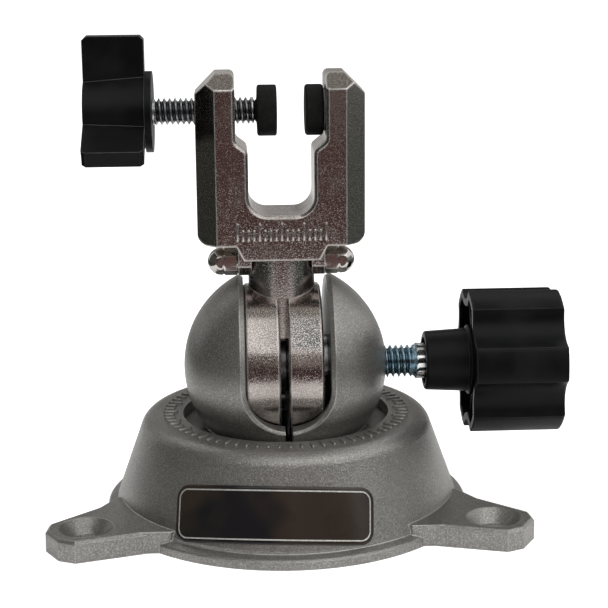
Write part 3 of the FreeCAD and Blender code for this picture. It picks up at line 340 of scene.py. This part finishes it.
springSteel = {
    "base": (0.28, 0.28, 0.29), "dark": (0.13, 0.125, 0.12), "stain": 0.35, "rough": 0.36,
    "grain": 3.0, "grainDepth": 0.03, "edge": 0.15,
}


def springShade():
    # plain oiled spring steel
    v = springSteel
    place = inMillimetres()
    stains = noise(place, v["stain"], 4.0, 0.6).step(0.35, 0.7)
    return {
        "Base Color": mixColour(stains, v["base"], v["dark"]),
        "Metallic": 0.9,
        "Roughness": v["rough"] + 0.15 * stains,
        "Normal": bump(noise(place, v["grain"]), 0.2, v["grainDepth"], roundedNormal(v["edge"])),
    }


blackPlastic = {
    "base": (0.0022, 0.0024, 0.0028), "pale": (0.0055, 0.0055, 0.0062), "rub": (0.14, 0.14, 0.15),
    "gloss": 0.13, "rough": 0.34, "skin": 3.2, "skinDepth": 0.03, "smear": 0.10, "edge": 0.30,
}


def plasticShade():
    # satin moulded plastic: a faint skin texture, slightly paler where fingers rub the edges
    v = blackPlastic
    place = inMillimetres()
    skin = noise(place, v["skin"], 2.0, 0.6)
    smears = noise(place, v["smear"], 3.0).step(0.4, 0.75)
    bevelled = roundedNormal(v["edge"])
    edgeWearAndHighlight = edges(bevelled, 0.03, 0.30)
    return {
        "Base Color": mixColour(edgeWearAndHighlight, mixColour(smears, v["base"], v["pale"]), v["rub"]),
        "Metallic": 0.0,
        "Specular IOR Level": v["gloss"],
        "Roughness": v["rough"] + 0.10 * smears + 0.06 * skin,
        "Normal": bump(skin, 0.25, v["skinDepth"], bevelled),
    }


blackPad = {
    "base": (0.004, 0.004, 0.004), "dusty": (0.010, 0.0095, 0.009), "dust": 1.1, "gloss": 0.12, "rough": 0.62,
    "grain": 2.5, "grainDepth": 0.04, "edge": 0.25,
}


def padShade():
    # dull dense pad with a dusty skin
    v = blackPad
    place = inMillimetres()
    dust = noise(place, v["dust"], 4.0, 0.65).step(0.4, 0.8)
    return {
        "Base Color": mixColour(dust, v["base"], v["dusty"]),
        "Metallic": 0.0,
        "Specular IOR Level": v["gloss"],
        "Roughness": v["rough"] + 0.15 * dust,
        "Normal": bump(noise(place, v["grain"]), 0.3, v["grainDepth"], roundedNormal(v["edge"])),
    }


finishes = {
    "cast_grey": newMaterial("castPaint", castShade),
    "nickel": newMaterial("nickelPlate", nickelShade),
    "bright_chrome": newMaterial("brightChrome", chromeShade),
    "zinc_plate": newMaterial("zincPlate", zincShade),
    "spring_steel": newMaterial("springSteel", springShade),
    "black_plastic": newMaterial("blackPlastic", plasticShade),
    "black_pad": newMaterial("blackPad", padShade),
}
for part in frame["record"]["subparts"]:
    for holder in frame["nodes"][part["node"]].material_slots:
        holder.material = finishes[part["material_slot"]]


def dress(piece, body, slot, material=None):
    piece.data.materials.append(material or finishes[slot])
    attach(piece, body)


# depth is a share of the pitch; a crest's half width and a flank's width are shares of half the pitch
threadShape = {"depth": 0.60, "crestHalf": 0.12, "flank": 0.63, "around": 48, "perTurn": 16}
lockScrew = {
    "height": ballHeight, "pitch": 1.411, "major": 3.96, "from": 12.2, "to": 31.6, "fade": 1.0,
    "tip": [(0.0, 0), (0.0, 1.9), (0.5, 2.5)],  # x from the screw's own end, radius
    "neck": [(11.6, 2.5), (12.0, 3.2)],
    "collar": [(31.7, 4.2), (31.9, 4.4), (32.45, 4.4), (34.2, 4.4), (35.95, 4.4), (36.9, 4.4)],
    "shank": 3.96, "shankFrom": 37.1, "teeth": {"from": 32.4, "to": 36.0, "deep": 0.45, "shade": 0.8},
}
clampScrew = {
    "height": clampHeight, "pitch": 1.27, "major": 3.165, "from": -30.2, "to": -6.9, "fade": 0.6,
    "neck": [(-6.7, 2.6), (-6.5, 2.0)], "tip": [(-0.3, 2.0), (0.0, 1.7), (0.0, 0)],
}


def screwGrid(v, before, after):
    # A bar along X. Between its plain ends, the radius at (x, angle) is the major radius less the thread's
    # depth times a groove: 0 near the crest line x = pitch * angle / fullTurn, 1 past the flank, and fading
    # out at both ends.
    t = threadShape
    inner = np.arange(v["from"], v["to"], v["pitch"] / t["perTurn"])[1:]
    xs = np.concatenate([[x for x, _ in before], inner, [x for x, _ in after]])
    radii = np.concatenate([[r for _, r in before], np.full(len(inner), v["major"]), [r for _, r in after]])
    columns = np.arange(t["around"])
    phase = xs[:, None] / v["pitch"] - columns[None] / t["around"]
    fromCrest = 1 - np.abs(2 * (phase - np.floor(phase)) - 1)
    fading = np.clip((xs - v["from"]) / v["fade"], 0, 1) * np.clip((v["to"] - xs) / v["fade"], 0, 1)
    groove = np.clip((fromCrest - t["crestHalf"]) / t["flank"], 0, 1) * fading[:, None]
    radius = radii[:, None] - t["depth"] * v["pitch"] * groove
    if "teeth" in v:  # every second pair of columns on the collar is drawn in
        teeth = v["teeth"]
        notch = ((xs > teeth["from"]) & (xs < teeth["to"]))[:, None] * (columns % 4 > 1)[None]
        radius = radius - teeth["deep"] * notch
        # the notches are also given painted shade, through the depth kept for the thread's colour
        groove = np.maximum(groove, teeth["shade"] * notch)
    return roundAxis(xs, radius, v["height"]), groove.ravel()


v = lockScrew
start, end = (corner.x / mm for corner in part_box("lock_stud"))
before = [(start + x, r) for x, r in v["tip"]] + v["neck"] + [(v["from"], v["major"])]
after = [(v["to"], v["major"])] + v["collar"] + [(v["shankFrom"], v["shank"]), (end, v["shank"]), (end, 0)]
grid, grooves = screwGrid(v, before, after)
lockThread = addShell("lockStudThread", grid, 40.0, grooves)
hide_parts("lock_stud")
dress(lockThread, "lock", "zinc_plate", newMaterial("blueZinc", lambda: zincShade(blueZinc)))

v = clampScrew
start, end = (corner.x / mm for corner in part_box("clamp_screw"))
before = [(start, 0), (start, v["major"]), (v["from"], v["major"])]
after = [(v["to"], v["major"])] + v["neck"] + [(end + x, r) for x, r in v["tip"]]
grid, grooves = screwGrid(v, before, after)
clampThread = addShell("clampScrewThread", grid, 40.0, grooves)
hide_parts("clamp_screw")
dress(clampThread, "clamp", "zinc_plate")
print("threads cut")


nuts = {
    "height": 61.6, "apothem": 3.03, "hexEnd": 3.5, "nearBevel": 0.35, "farBevel": 0.45,
    "farCap": 1.02, "corner": 1.16,  # the cones' radii, as shares of the apothem
    "dome": 3.35, "neck": 0.12, "neckFrom": 0.1, "neckTo": 0.35, "domeSteps": 12, "around": 72,
}


def nutGrid(inner, outer):
    # A six-sided bar whose radius is the apothem over the cosine of the angle from the nearest flat's middle,
    # capped by a cone at each end, then a short round neck and a dome: a quarter turn of a circle.
    v = nuts
    way = 1 if outer > inner else -1
    sixth = fullTurn / 6
    angles = np.arange(v["around"]) * fullTurn / v["around"]
    offFlat = np.abs((angles / sixth + 0.5) % 1 - 0.5) * sixth
    sixSided = v["apothem"] / np.cos(offFlat)
    swing = np.linspace(0, quarterTurn, v["domeSteps"])
    along = np.concatenate([
        [0, 0, v["nearBevel"], v["hexEnd"] - v["farBevel"], v["hexEnd"]],
        [v["hexEnd"] + v["neckFrom"], v["hexEnd"] + v["neckTo"]],
        abs(outer - inner) - v["dome"] + v["dome"] * np.sin(swing)])
    caps = np.concatenate([
        v["apothem"] * np.array([0, 1, v["corner"], v["corner"], v["farCap"]]),
        [v["dome"] - v["neck"], v["dome"]],
        v["dome"] * np.cos(swing)])
    return roundAxis(inner + way * along, np.minimum(sixSided[None], caps[:, None]), v["height"])


for side in ("left", "right"):
    low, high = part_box("acorn_nut_" + side)
    inner, outer = (high.x, low.x) if side == "left" else (low.x, high.x)
    nut = addShell(side + "DomeNut", nutGrid(inner / mm, outer / mm), 25.0)
    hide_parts("acorn_nut_" + side)
    dress(nut, "head", "bright_chrome")

swivelPad = {
    "height": clampHeight, "around": 96,
    "profile": [(-6.6, 0), (-6.6, 2.1), (-6.5, 2.4), (-6.2, 2.6), (-6.1, 3.2), (-6.0, 5.5), (-5.85, 5.85),
                (-5.5, 6.0), (-3.2, 6.0), (-1.75, 6.0), (-1.5, 5.85), (-1.4, 5.55), (-1.4, 4.4), (-1.5, 4.2),
                (-1.5, 0)],
}
v = swivelPad
swivel = addShell("turnedPad", latheGrid(v["profile"], v["height"], v["around"]), 35.0)
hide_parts("swivel_pad")
dress(swivel, "pad", "black_pad")
print("nuts and pad turned")


lockKnob = {
    "height": ballHeight, "radius": 17.95, "flute": 15.0, "lobes": 6, "lobeTurn": 10.0, "crest": 13.5,
    "soft": 0.22, "missBy": 3.0, "wall": 1.9, "open": 44.4, "end": 66.5, "plate": 3.0,
    "edge": 0.9, "edgeSteps": 6, "lip": 0.2, "columns": 216, "hubRoot": 7.7, "ringFrom": 43.6,
    # (x, radius) from the bore's end to the hub's own end and back along its outside
    "hub": [(51.95, 0), (51.95, 3.97), (37.1, 3.97), (37.1, 4.42), (35.5, 4.42), (35.5, 5.7), (34.1, 5.7),
            (33.9, 5.9), (33.9, 6.5), (34.05, 6.95), (34.4, 7.2)],
    # the rolled ring: how far past its start, and how far proud of the hub
    "ring": [(0, 0), (0.6, 0.1), (0.9, 0.6), (1.1, 0.8), (3.0, 0.8), (3.0, 0)],
    "webThick": 1.3, "webFrom": 46.4, "webRoot": 7.0,
}


def lobedRadius(angles, inset):
    # Crests on a circle, cut by hollow flutes. A flute is an arc about a centre outside the knob, and the ray
    # meets it at D cos d - sqrt(q^2 - (D sin d)^2), with d the angle from the flute's middle, D the centre's
    # distance and q its radius. The lesser of crest and flute is taken softly, so they meet in a small round.
    v = lockKnob
    half = math.pi / v["lobes"] - math.radians(v["crest"])
    away = (v["radius"] ** 2 - v["flute"] ** 2) / (2 * (v["radius"] * math.cos(half) - v["flute"]))
    hollow = away - v["flute"] + inset
    step = fullTurn / v["lobes"]
    off = (angles - math.radians(v["lobeTurn"])) % step - 0.5 * step
    inside = hollow ** 2 - (away * np.sin(off)) ** 2
    met = away * np.cos(off) - np.sqrt(np.clip(inside, 0, None))
    met = np.where(inside > 0, met, v["radius"] + v["missBy"])  # a ray past the flute meets only the crest
    return -v["soft"] * np.logaddexp((inset - v["radius"]) / v["soft"], -met / v["soft"])


def knobGrid():
    # The knob's section at every angle, counted from the front upwards: bore, hub, inside of the cup, lobed
    # wall, and the closed end with its edge rounded by a quarter circle.
    v = lockKnob
    angles = math.radians(v["lobeTurn"]) + np.arange(v["columns"]) * fullTurn / v["columns"]
    outer, inner = lobedRadius(angles, 0.0), lobedRadius(angles, v["wall"])
    around = np.ones_like(angles)
    mouth, end, floor, lip, edge = v["open"], v["end"], v["end"] - v["plate"], v["lip"], v["edge"]
    ring = [(v["ringFrom"] + past, v["hubRoot"] + proud) for past, proud in v["ring"]]
    rows = [(x, r * around) for x, r in v["hub"] + ring + [(floor, v["hubRoot"])]]
    rows += [(floor, inner), (mouth + lip, inner), (mouth, inner + lip), (mouth, outer - lip),
             (mouth + lip, outer), (end - edge, outer)]
    for swing in np.linspace(0, quarterTurn, v["edgeSteps"])[1:]:
        rows.append((end - edge * (1 - math.sin(swing)), outer - edge * (1 - math.cos(swing))))
    rows += [(end, 0.5 * outer), (end, 0 * around)]
    return np.stack([np.stack([x * around, -r * np.cos(angles), v["height"] + r * np.sin(angles)], axis=1)
                     for x, r in rows])


def addWebs():
    # A flat box inside each lobe: its corners stand (along, out, aside) and are turned about the knob's axis.
    v = lockKnob
    corners = np.array([(along, out, aside)
                        for along in (v["webFrom"], v["end"] - 0.5 * v["plate"])
                        for out in (v["webRoot"], v["radius"] - 0.5 * v["wall"])
                        for aside in (-0.5 * v["webThick"], 0.5 * v["webThick"])])
    turns = (math.radians(v["lobeTurn"]) + np.arange(v["lobes"]) * fullTurn / v["lobes"])[:, None]
    along, out, aside = corners.T[:, None]
    points = np.stack([along + 0 * turns, -out * np.cos(turns) - aside * np.sin(turns),
                       v["height"] + out * np.sin(turns) - aside * np.cos(turns)], axis=2)
    box = np.array([(0, 1, 3), (0, 3, 2), (4, 6, 7), (4, 7, 5), (0, 4, 5), (0, 5, 1),
                    (2, 3, 7), (2, 7, 6), (0, 2, 6), (0, 6, 4), (1, 5, 7), (1, 7, 3)])
    faces = np.arange(v["lobes"])[:, None, None] * len(corners) + box[None]
    return addMesh("knobWebs", points.reshape(-1, 3), faces.reshape(-1, 3))


cup = addShell("lobedKnob", knobGrid(), 28.0)
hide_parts("lock_knob")
dress(cup, "lock", "black_plastic")
dress(addWebs(), "lock", "black_plastic")
print("lock knob shaped")

drumKey = {"from": -1.68, "to": 0.28, "radius": 6.9, "edge": 0.3, "height": ballHeight, "around": 72}
v = drumKey
rim = v["radius"] - v["edge"]
profile = [(v["from"], 0), (v["from"], rim), (v["from"] + v["edge"], v["radius"]),
           (v["to"] - v["edge"], v["radius"]), (v["to"], rim), (v["to"], 0)]
dress(addShell("drumKey", latheGrid(profile, v["height"], v["around"])), "drum", "spring_steel")
print("drum key set")


plaque = {
    "halfWidth": 23.7, "halfHeight": 6.5, "corner": 3.2, "leastCorner": 0.001, "around": 160,
    "middleHeight": 11.3, "turn": -6.9, "coneFoot": 41.70, "coneFall": 0.3578, "coneFootHeight": 3.6,
    "thick": 0.45, "sink": 0.35, "backEdge": 0.35, "faceFrom": 0.9, "faceRings": 6,
    "rounding": [(0.0, 0.15), (0.08, 0.04), (0.22, 0.0)],  # inset, and how far below the face
    "lineIn": 0.85, "lineWide": 0.30, "lineRise": 0.05, "lineRound": 0.04, "lineShoulder": 0.6,
    "lineSink": 0.1,
}
plaqueInk = {
    "base": (0.006, 0.006, 0.007), "brown": (0.020, 0.014, 0.010), "drift": 0.06, "rough": 0.16,
    "peel": 1.2, "peelDepth": 0.03, "edge": 0.15,
}
plaqueLine = {
    "base": (0.62, 0.62, 0.60), "dull": (0.42, 0.42, 0.40), "speck": 2.0, "metallic": 0.7, "rough": 0.32,
}


def plateOutline(inset):
    # The plate's outline drawn in by the inset: at each corner a quarter circle, then a straight run of even
    # steps to the next corner.
    v = plaque
    corner = max(v["corner"] - inset, v["leastCorner"])
    x, y = v["halfWidth"] - inset - corner, v["halfHeight"] - inset - corner
    middles = np.array([(x, y), (-x, y), (-x, -y), (x, -y)])
    inBend = v["around"] // 16
    share = np.linspace(0, 1, v["around"] // 4 - inBend + 2)[1:-1, None]
    runs = []
    for k, middle in enumerate(middles):
        bend = np.linspace(0, quarterTurn, inBend) + quarterTurn * k
        arc = middle + corner * np.stack([np.cos(bend), np.sin(bend)], axis=1)
        turn = quarterTurn * (k + 1)
        last = middles[(k + 1) % 4] + corner * np.array([math.cos(turn), math.sin(turn)])
        runs += [arc, arc[-1] + (last - arc[-1]) * share]
    return np.concatenate(runs)


def onCone(across, up, lift):
    # A flat plate rolled round the cone: on the unrolled cone a point lies at its distance from the tip, and
    # its angle there grows on the cone by one over the sine of the cone's half angle. The lift is square to
    # the flank.
    v = plaque
    lean = math.atan(v["coneFall"])
    middleRadius = v["coneFoot"] - v["coneFall"] * (v["middleHeight"] - v["coneFootHeight"])
    tipAway = middleRadius / math.sin(lean)
    fromTip = np.hypot(across, tipAway - up)
    angle = math.radians(v["turn"]) + np.arctan2(across, tipAway - up) / math.sin(lean)
    z = v["middleHeight"] + (tipAway - fromTip) * math.cos(lean) + lift * math.sin(lean)
    away = fromTip * math.sin(lean) + lift * math.cos(lean)
    return np.stack([away * np.sin(angle), -away * np.cos(angle), z], axis=-1)


def platedRings(rings):
    # one row of points for each (inset from the plate's outline, lift off the cone)
    return np.stack([onCone(*plateOutline(inset).T, lift) for inset, lift in rings])


def plaqueShade():
    # glossy black lacquer with a little orange peel
    v = plaqueInk
    place = inMillimetres()
    drift = noise(place, v["drift"], 2.0)
    return {
        "Base Color": mixColour(drift.step(0.4, 0.6), v["base"], v["brown"]),
        "Metallic": 0.0,
        "Roughness": v["rough"] + 0.10 * drift,
        "Normal": bump(noise(place, v["peel"], 2.0), 0.12, v["peelDepth"], roundedNormal(v["edge"])),
    }


def silverShade():
    # bare bright line left in the lacquer
    v = plaqueLine
    specks = noise(inMillimetres(), v["speck"], 3.0)
    return {
        "Base Color": mixColour(specks.step(0.3, 0.7), v["base"], v["dull"]),
        "Metallic": v["metallic"],
        "Roughness": v["rough"] + 0.1 * specks,
    }


v = plaque
top, deepest = v["thick"], v["halfHeight"]  # the deepest rings close on the plate's middle line
back = [(deepest, -v["sink"]), (v["backEdge"], -v["sink"]), (0.0, -v["sink"])]
rounded = [(inset, top - below) for inset, below in v["rounding"]]
face = [(inset, top) for inset in np.linspace(v["faceFrom"], deepest, v["faceRings"])]
plate = addShell("frontPlaque", platedRings(back + rounded + face), 40.0)
dress(plate, "base", "black_plastic", newMaterial("plaqueLacquer", plaqueShade))

near, far, bend = v["lineIn"], v["lineIn"] + v["lineWide"], v["lineRound"]
crown, shoulder, sunk = top + v["lineRise"], top + v["lineShoulder"] * v["lineRise"], top - v["lineSink"]
section = [(near, sunk), (near, shoulder), (near + bend, crown),
           (far - bend, crown), (far, shoulder), (far, sunk)]
line = addShell("plaqueBorder", platedRings(section + section[:1]), 40.0)
dress(line, "base", "zinc_plate", newMaterial("plaqueSilver", silverShade))
print("plaque set")


ringMarks = {"height": 24.0, "from": 27.2, "to": 30.0, "longer": 0.9, "step": 5, "longEvery": 3,
             "halfWidth": 0.34, "rise": 0.45}
v = ringMarks
turns = np.radians(np.arange(0, 360, v["step"]))
outward = np.stack([np.cos(turns), np.sin(turns), 0 * turns], axis=1)
aside = np.stack([-np.sin(turns), np.cos(turns), 0 * turns], axis=1)
extra = v["longer"] * (np.arange(len(turns)) % v["longEvery"] == 0)
starts = outward * (v["from"] - extra)[:, None] + np.array([0, 0, v["height"]])
marks = addCapsules("ringMarks", starts, outward, aside, np.tile([0, 0, 1.0], (len(turns), 1)),
                    v["to"] - v["from"] + extra, v["halfWidth"], v["rise"])
dress(marks, "base", "cast_grey")

headMarks = {"face": -9.0, "middle": -0.7, "foot": 67.9, "tall": 4.6, "short": 3.0, "count": 17, "gap": 1.3,
             "halfWidth": 0.36, "rise": 0.42, "tallEvery": 4}
v = headMarks
order = np.arange(v["count"]) - v["count"] // 2
across = np.tile([1.0, 0, 0], (v["count"], 1))
starts = np.array([v["middle"], v["face"], v["foot"]]) + order[:, None] * v["gap"] * across
marks = addCapsules("headMarks", starts, np.tile([0, 0, 1.0], (v["count"], 1)), across,
                    np.tile([0, -1.0, 0], (v["count"], 1)),
                    np.where(order % v["tallEvery"] == 0, v["tall"], v["short"]), v["halfWidth"], v["rise"])
dress(marks, "head", "nickel")
print("marks raised")


# place and nearest in metres, lens and sensor in millimetres, turns in degrees
view = {"place": (-0.01358, -0.38475, 0.14437), "yaw": 2.722, "pitch": 13.684, "roll": 0.505, "lens": 96.88,
        "sensor": 36.0, "nearest": 0.01}


def addCamera():
    # looks along the yaw and down by the pitch, then rolls about its own line of sight
    yaw, pitch, roll = (math.radians(view[turn]) for turn in ("yaw", "pitch", "roll"))
    forward = np.array([math.sin(yaw) * math.cos(pitch), math.cos(yaw) * math.cos(pitch), -math.sin(pitch)])
    level = np.array([math.cos(yaw), -math.sin(yaw), 0.0])
    above = np.cross(level, forward)
    placed = np.eye(4)
    placed[:3, 0] = math.cos(roll) * level - math.sin(roll) * above
    placed[:3, 1] = math.sin(roll) * level + math.cos(roll) * above
    placed[:3, 2] = -forward
    placed[:3, 3] = view["place"]
    camera = bpy.data.objects.new("photoCamera", bpy.data.cameras.new("photoCamera"))
    camera.data.lens = view["lens"]
    camera.data.sensor_width = view["sensor"]
    camera.data.clip_start = view["nearest"]
    camera.matrix_world = Matrix(placed.tolist())
    scene.collection.objects.link(camera)
    scene.camera = camera


def rays(kind):
    return Wire.make("ShaderNodeLightPath", out=kind)


air = {"ambient": (0.36, 0.36, 0.36), "seen": (1.0, 1.0, 1.0)}


def addAir():
    # plain light all round, white only where the camera, a mirror or a pane looks at it
    world = bpy.data.worlds.new("studioAir")
    scene.world = world
    clearTree(world)
    seen = Wire.math("MAXIMUM", rays("Is Camera Ray"), rays("Is Glossy Ray"))
    seen = Wire.math("MAXIMUM", seen, rays("Is Transmission Ray"))
    sky = Wire.make("ShaderNodeBackground", None,
                    {"Color": mixColour(seen, air["ambient"], air["seen"]), "Strength": 1.0})
    Wire.make("ShaderNodeOutputWorld", None, {"Surface": sky})


def addPlane(name, corners, material):
    mesh = bpy.data.meshes.new(name)
    mesh.from_pydata(corners, [], [(0, 1, 2, 3)])
    plane = bpy.data.objects.new(name, mesh)
    mesh.materials.append(material)
    scene.collection.objects.link(plane)
    return plane


def flat(left, right, near, far, height):
    return [(left, near, height), (right, near, height), (right, far, height), (left, far, height)]


def upright(left, right, y, low, high):
    return [(left, y, low), (right, y, low), (right, y, high), (left, y, high)]


def sideways(x, near, far, low, high):
    return [(x, near, low), (x, far, low), (x, far, high), (x, near, high)]


def sloping(left, right, near, far, low, high):
    return [(left, near, low), (right, near, low), (right, far, high), (left, far, high)]


# half its side, and the distances between which the glow grows, in metres
ground = {"half": 4.0, "shade": (0.80, 0.80, 0.80), "glow": 0.55, "moreGlow": 0.25, "from": 0.2, "to": 1.0}


def groundShade():
    # pale and diffuse, lifted toward white for the camera alone, more so farther from the object
    v = ground
    place = Wire.make("ShaderNodeTexCoord", out="Object")
    away = Wire.make("ShaderNodeVectorMath", {"operation": "LENGTH"}, {0: place}, "Value")
    lift = rays("Is Camera Ray") * (v["glow"] + v["moreGlow"] * away.step(v["from"], v["to"]))
    diffuse = Wire.make("ShaderNodeBsdfDiffuse", None, {"Color": colour(v["shade"])})
    glow = Wire.make("ShaderNodeEmission", None,
                     {"Color": mixColour(lift, (0, 0, 0), (1, 1, 1)), "Strength": 1.0})
    return Wire.make("ShaderNodeAddShader", None, {0: diffuse, 1: glow})


# Cards round the object, seen only as reflections in it: the corners in metres, then the glow's colour.
cards = {
    "frontBoard": (flat(-0.13, 0.13, -1.4, -0.20, 0.001), (0.125, 0.072, 0.068)),
    "leftBoard": (flat(-1.2, -0.13, -1.4, 0.6, 0.001), (0.046, 0.050, 0.042)),
    "rightBoard": (flat(0.13, 1.2, -1.4, 0.6, 0.001), (0.105, 0.118, 0.108)),
    "backCard": (upright(-1.4, 1.4, 1.3, 0.36, 1.1), (0.10, 0.10, 0.095)),
    "lowBackCard": (upright(-1.4, 1.4, 1.3, 0.0, 0.36), (0.50, 0.49, 0.47)),
    "ceilingCard": (flat(-0.7, 0.7, -0.22, 0.9, 1.5), (0.32, 0.31, 0.29)),
    "farCeiling": (flat(-1.3, 0.5, -1.5, 1.4, 2.4), (0.16, 0.155, 0.145)),
    "brightCard": (sloping(-0.40, 1.4, -1.25, -0.22, 0.80, 1.50), (1.50, 1.47, 1.43)),
    "tealCard": (sloping(0.0062, 0.028, -0.20, -0.05, 0.165, 0.265), (0.015, 0.090, 0.135)),
    "roomCard": (upright(-1.4, 1.4, -1.4, 0.0, 0.80), (0.075, 0.048, 0.048)),
    "paleCard": (upright(0.0066, 0.0185, -0.22, 0.075, 0.150), (0.78, 0.73, 0.66)),
    "leftCard": (sideways(-1.3, -1.5, 0.9, 0.0, 2.4), (0.075, 0.073, 0.064)),
    "rightCard": (sideways(1.5, -1.4, 0.6, 0.0, 0.5), (0.22, 0.23, 0.23)),
}
# places, targets and sizes in metres, power in watts
lamps = {
    "keyLamp": {"place": (0.45, -0.90, 1.00), "target": (0, 0, 0.05), "size": (1.2, 0.9), "power": 17.0,
                "shade": (1.0, 0.99, 0.97)},
    "fillLamp": {"place": (-1.05, -0.55, 0.60), "target": (0, 0, 0.05), "size": (0.5, 0.8), "power": 0.4,
                 "shade": (1.0, 0.97, 0.93)},
    "topLamp": {"place": (0.0, 0.10, 1.1), "target": (0, 0, 0.0), "size": (0.9, 0.6), "power": 6.0,
                "shade": (1.0, 1.0, 1.0)},
}


def addCard(name, corners, shade):
    glow = {"Color": colour(shade), "Strength": 1.0}
    card = addPlane(name, corners, newMaterial(name, lambda: Wire.make("ShaderNodeEmission", None, glow)))
    card.visible_camera = False
    card.visible_shadow = False
    card.visible_diffuse = False


def addLamp(name, v):
    # a soft lamp turned so that it faces its target, and left out of mirrors
    lamp = bpy.data.objects.new(name, bpy.data.lights.new(name, "AREA"))
    lamp.data.shape = "RECTANGLE"
    lamp.data.size, lamp.data.size_y = v["size"]
    lamp.data.energy = v["power"]
    lamp.data.color = v["shade"]
    lamp.location = v["place"]
    x, y, z = np.array(v["target"]) - np.array(v["place"])
    lamp.rotation_euler = (math.atan2(math.hypot(x, y), -z), 0, math.atan2(y, x) - quarterTurn)
    scene.collection.objects.link(lamp)
    lamp.visible_glossy = False


scene.view_settings.view_transform = "Standard"
addCamera()
addAir()
half = ground["half"]
addPlane("floor", flat(-half, half, -half, half, 0), newMaterial("paleFloor", groundShade))
for name, (corners, shade) in cards.items():
    addCard(name, corners, shade)
for name, v in lamps.items():
    addLamp(name, v)
print("camera and light set")
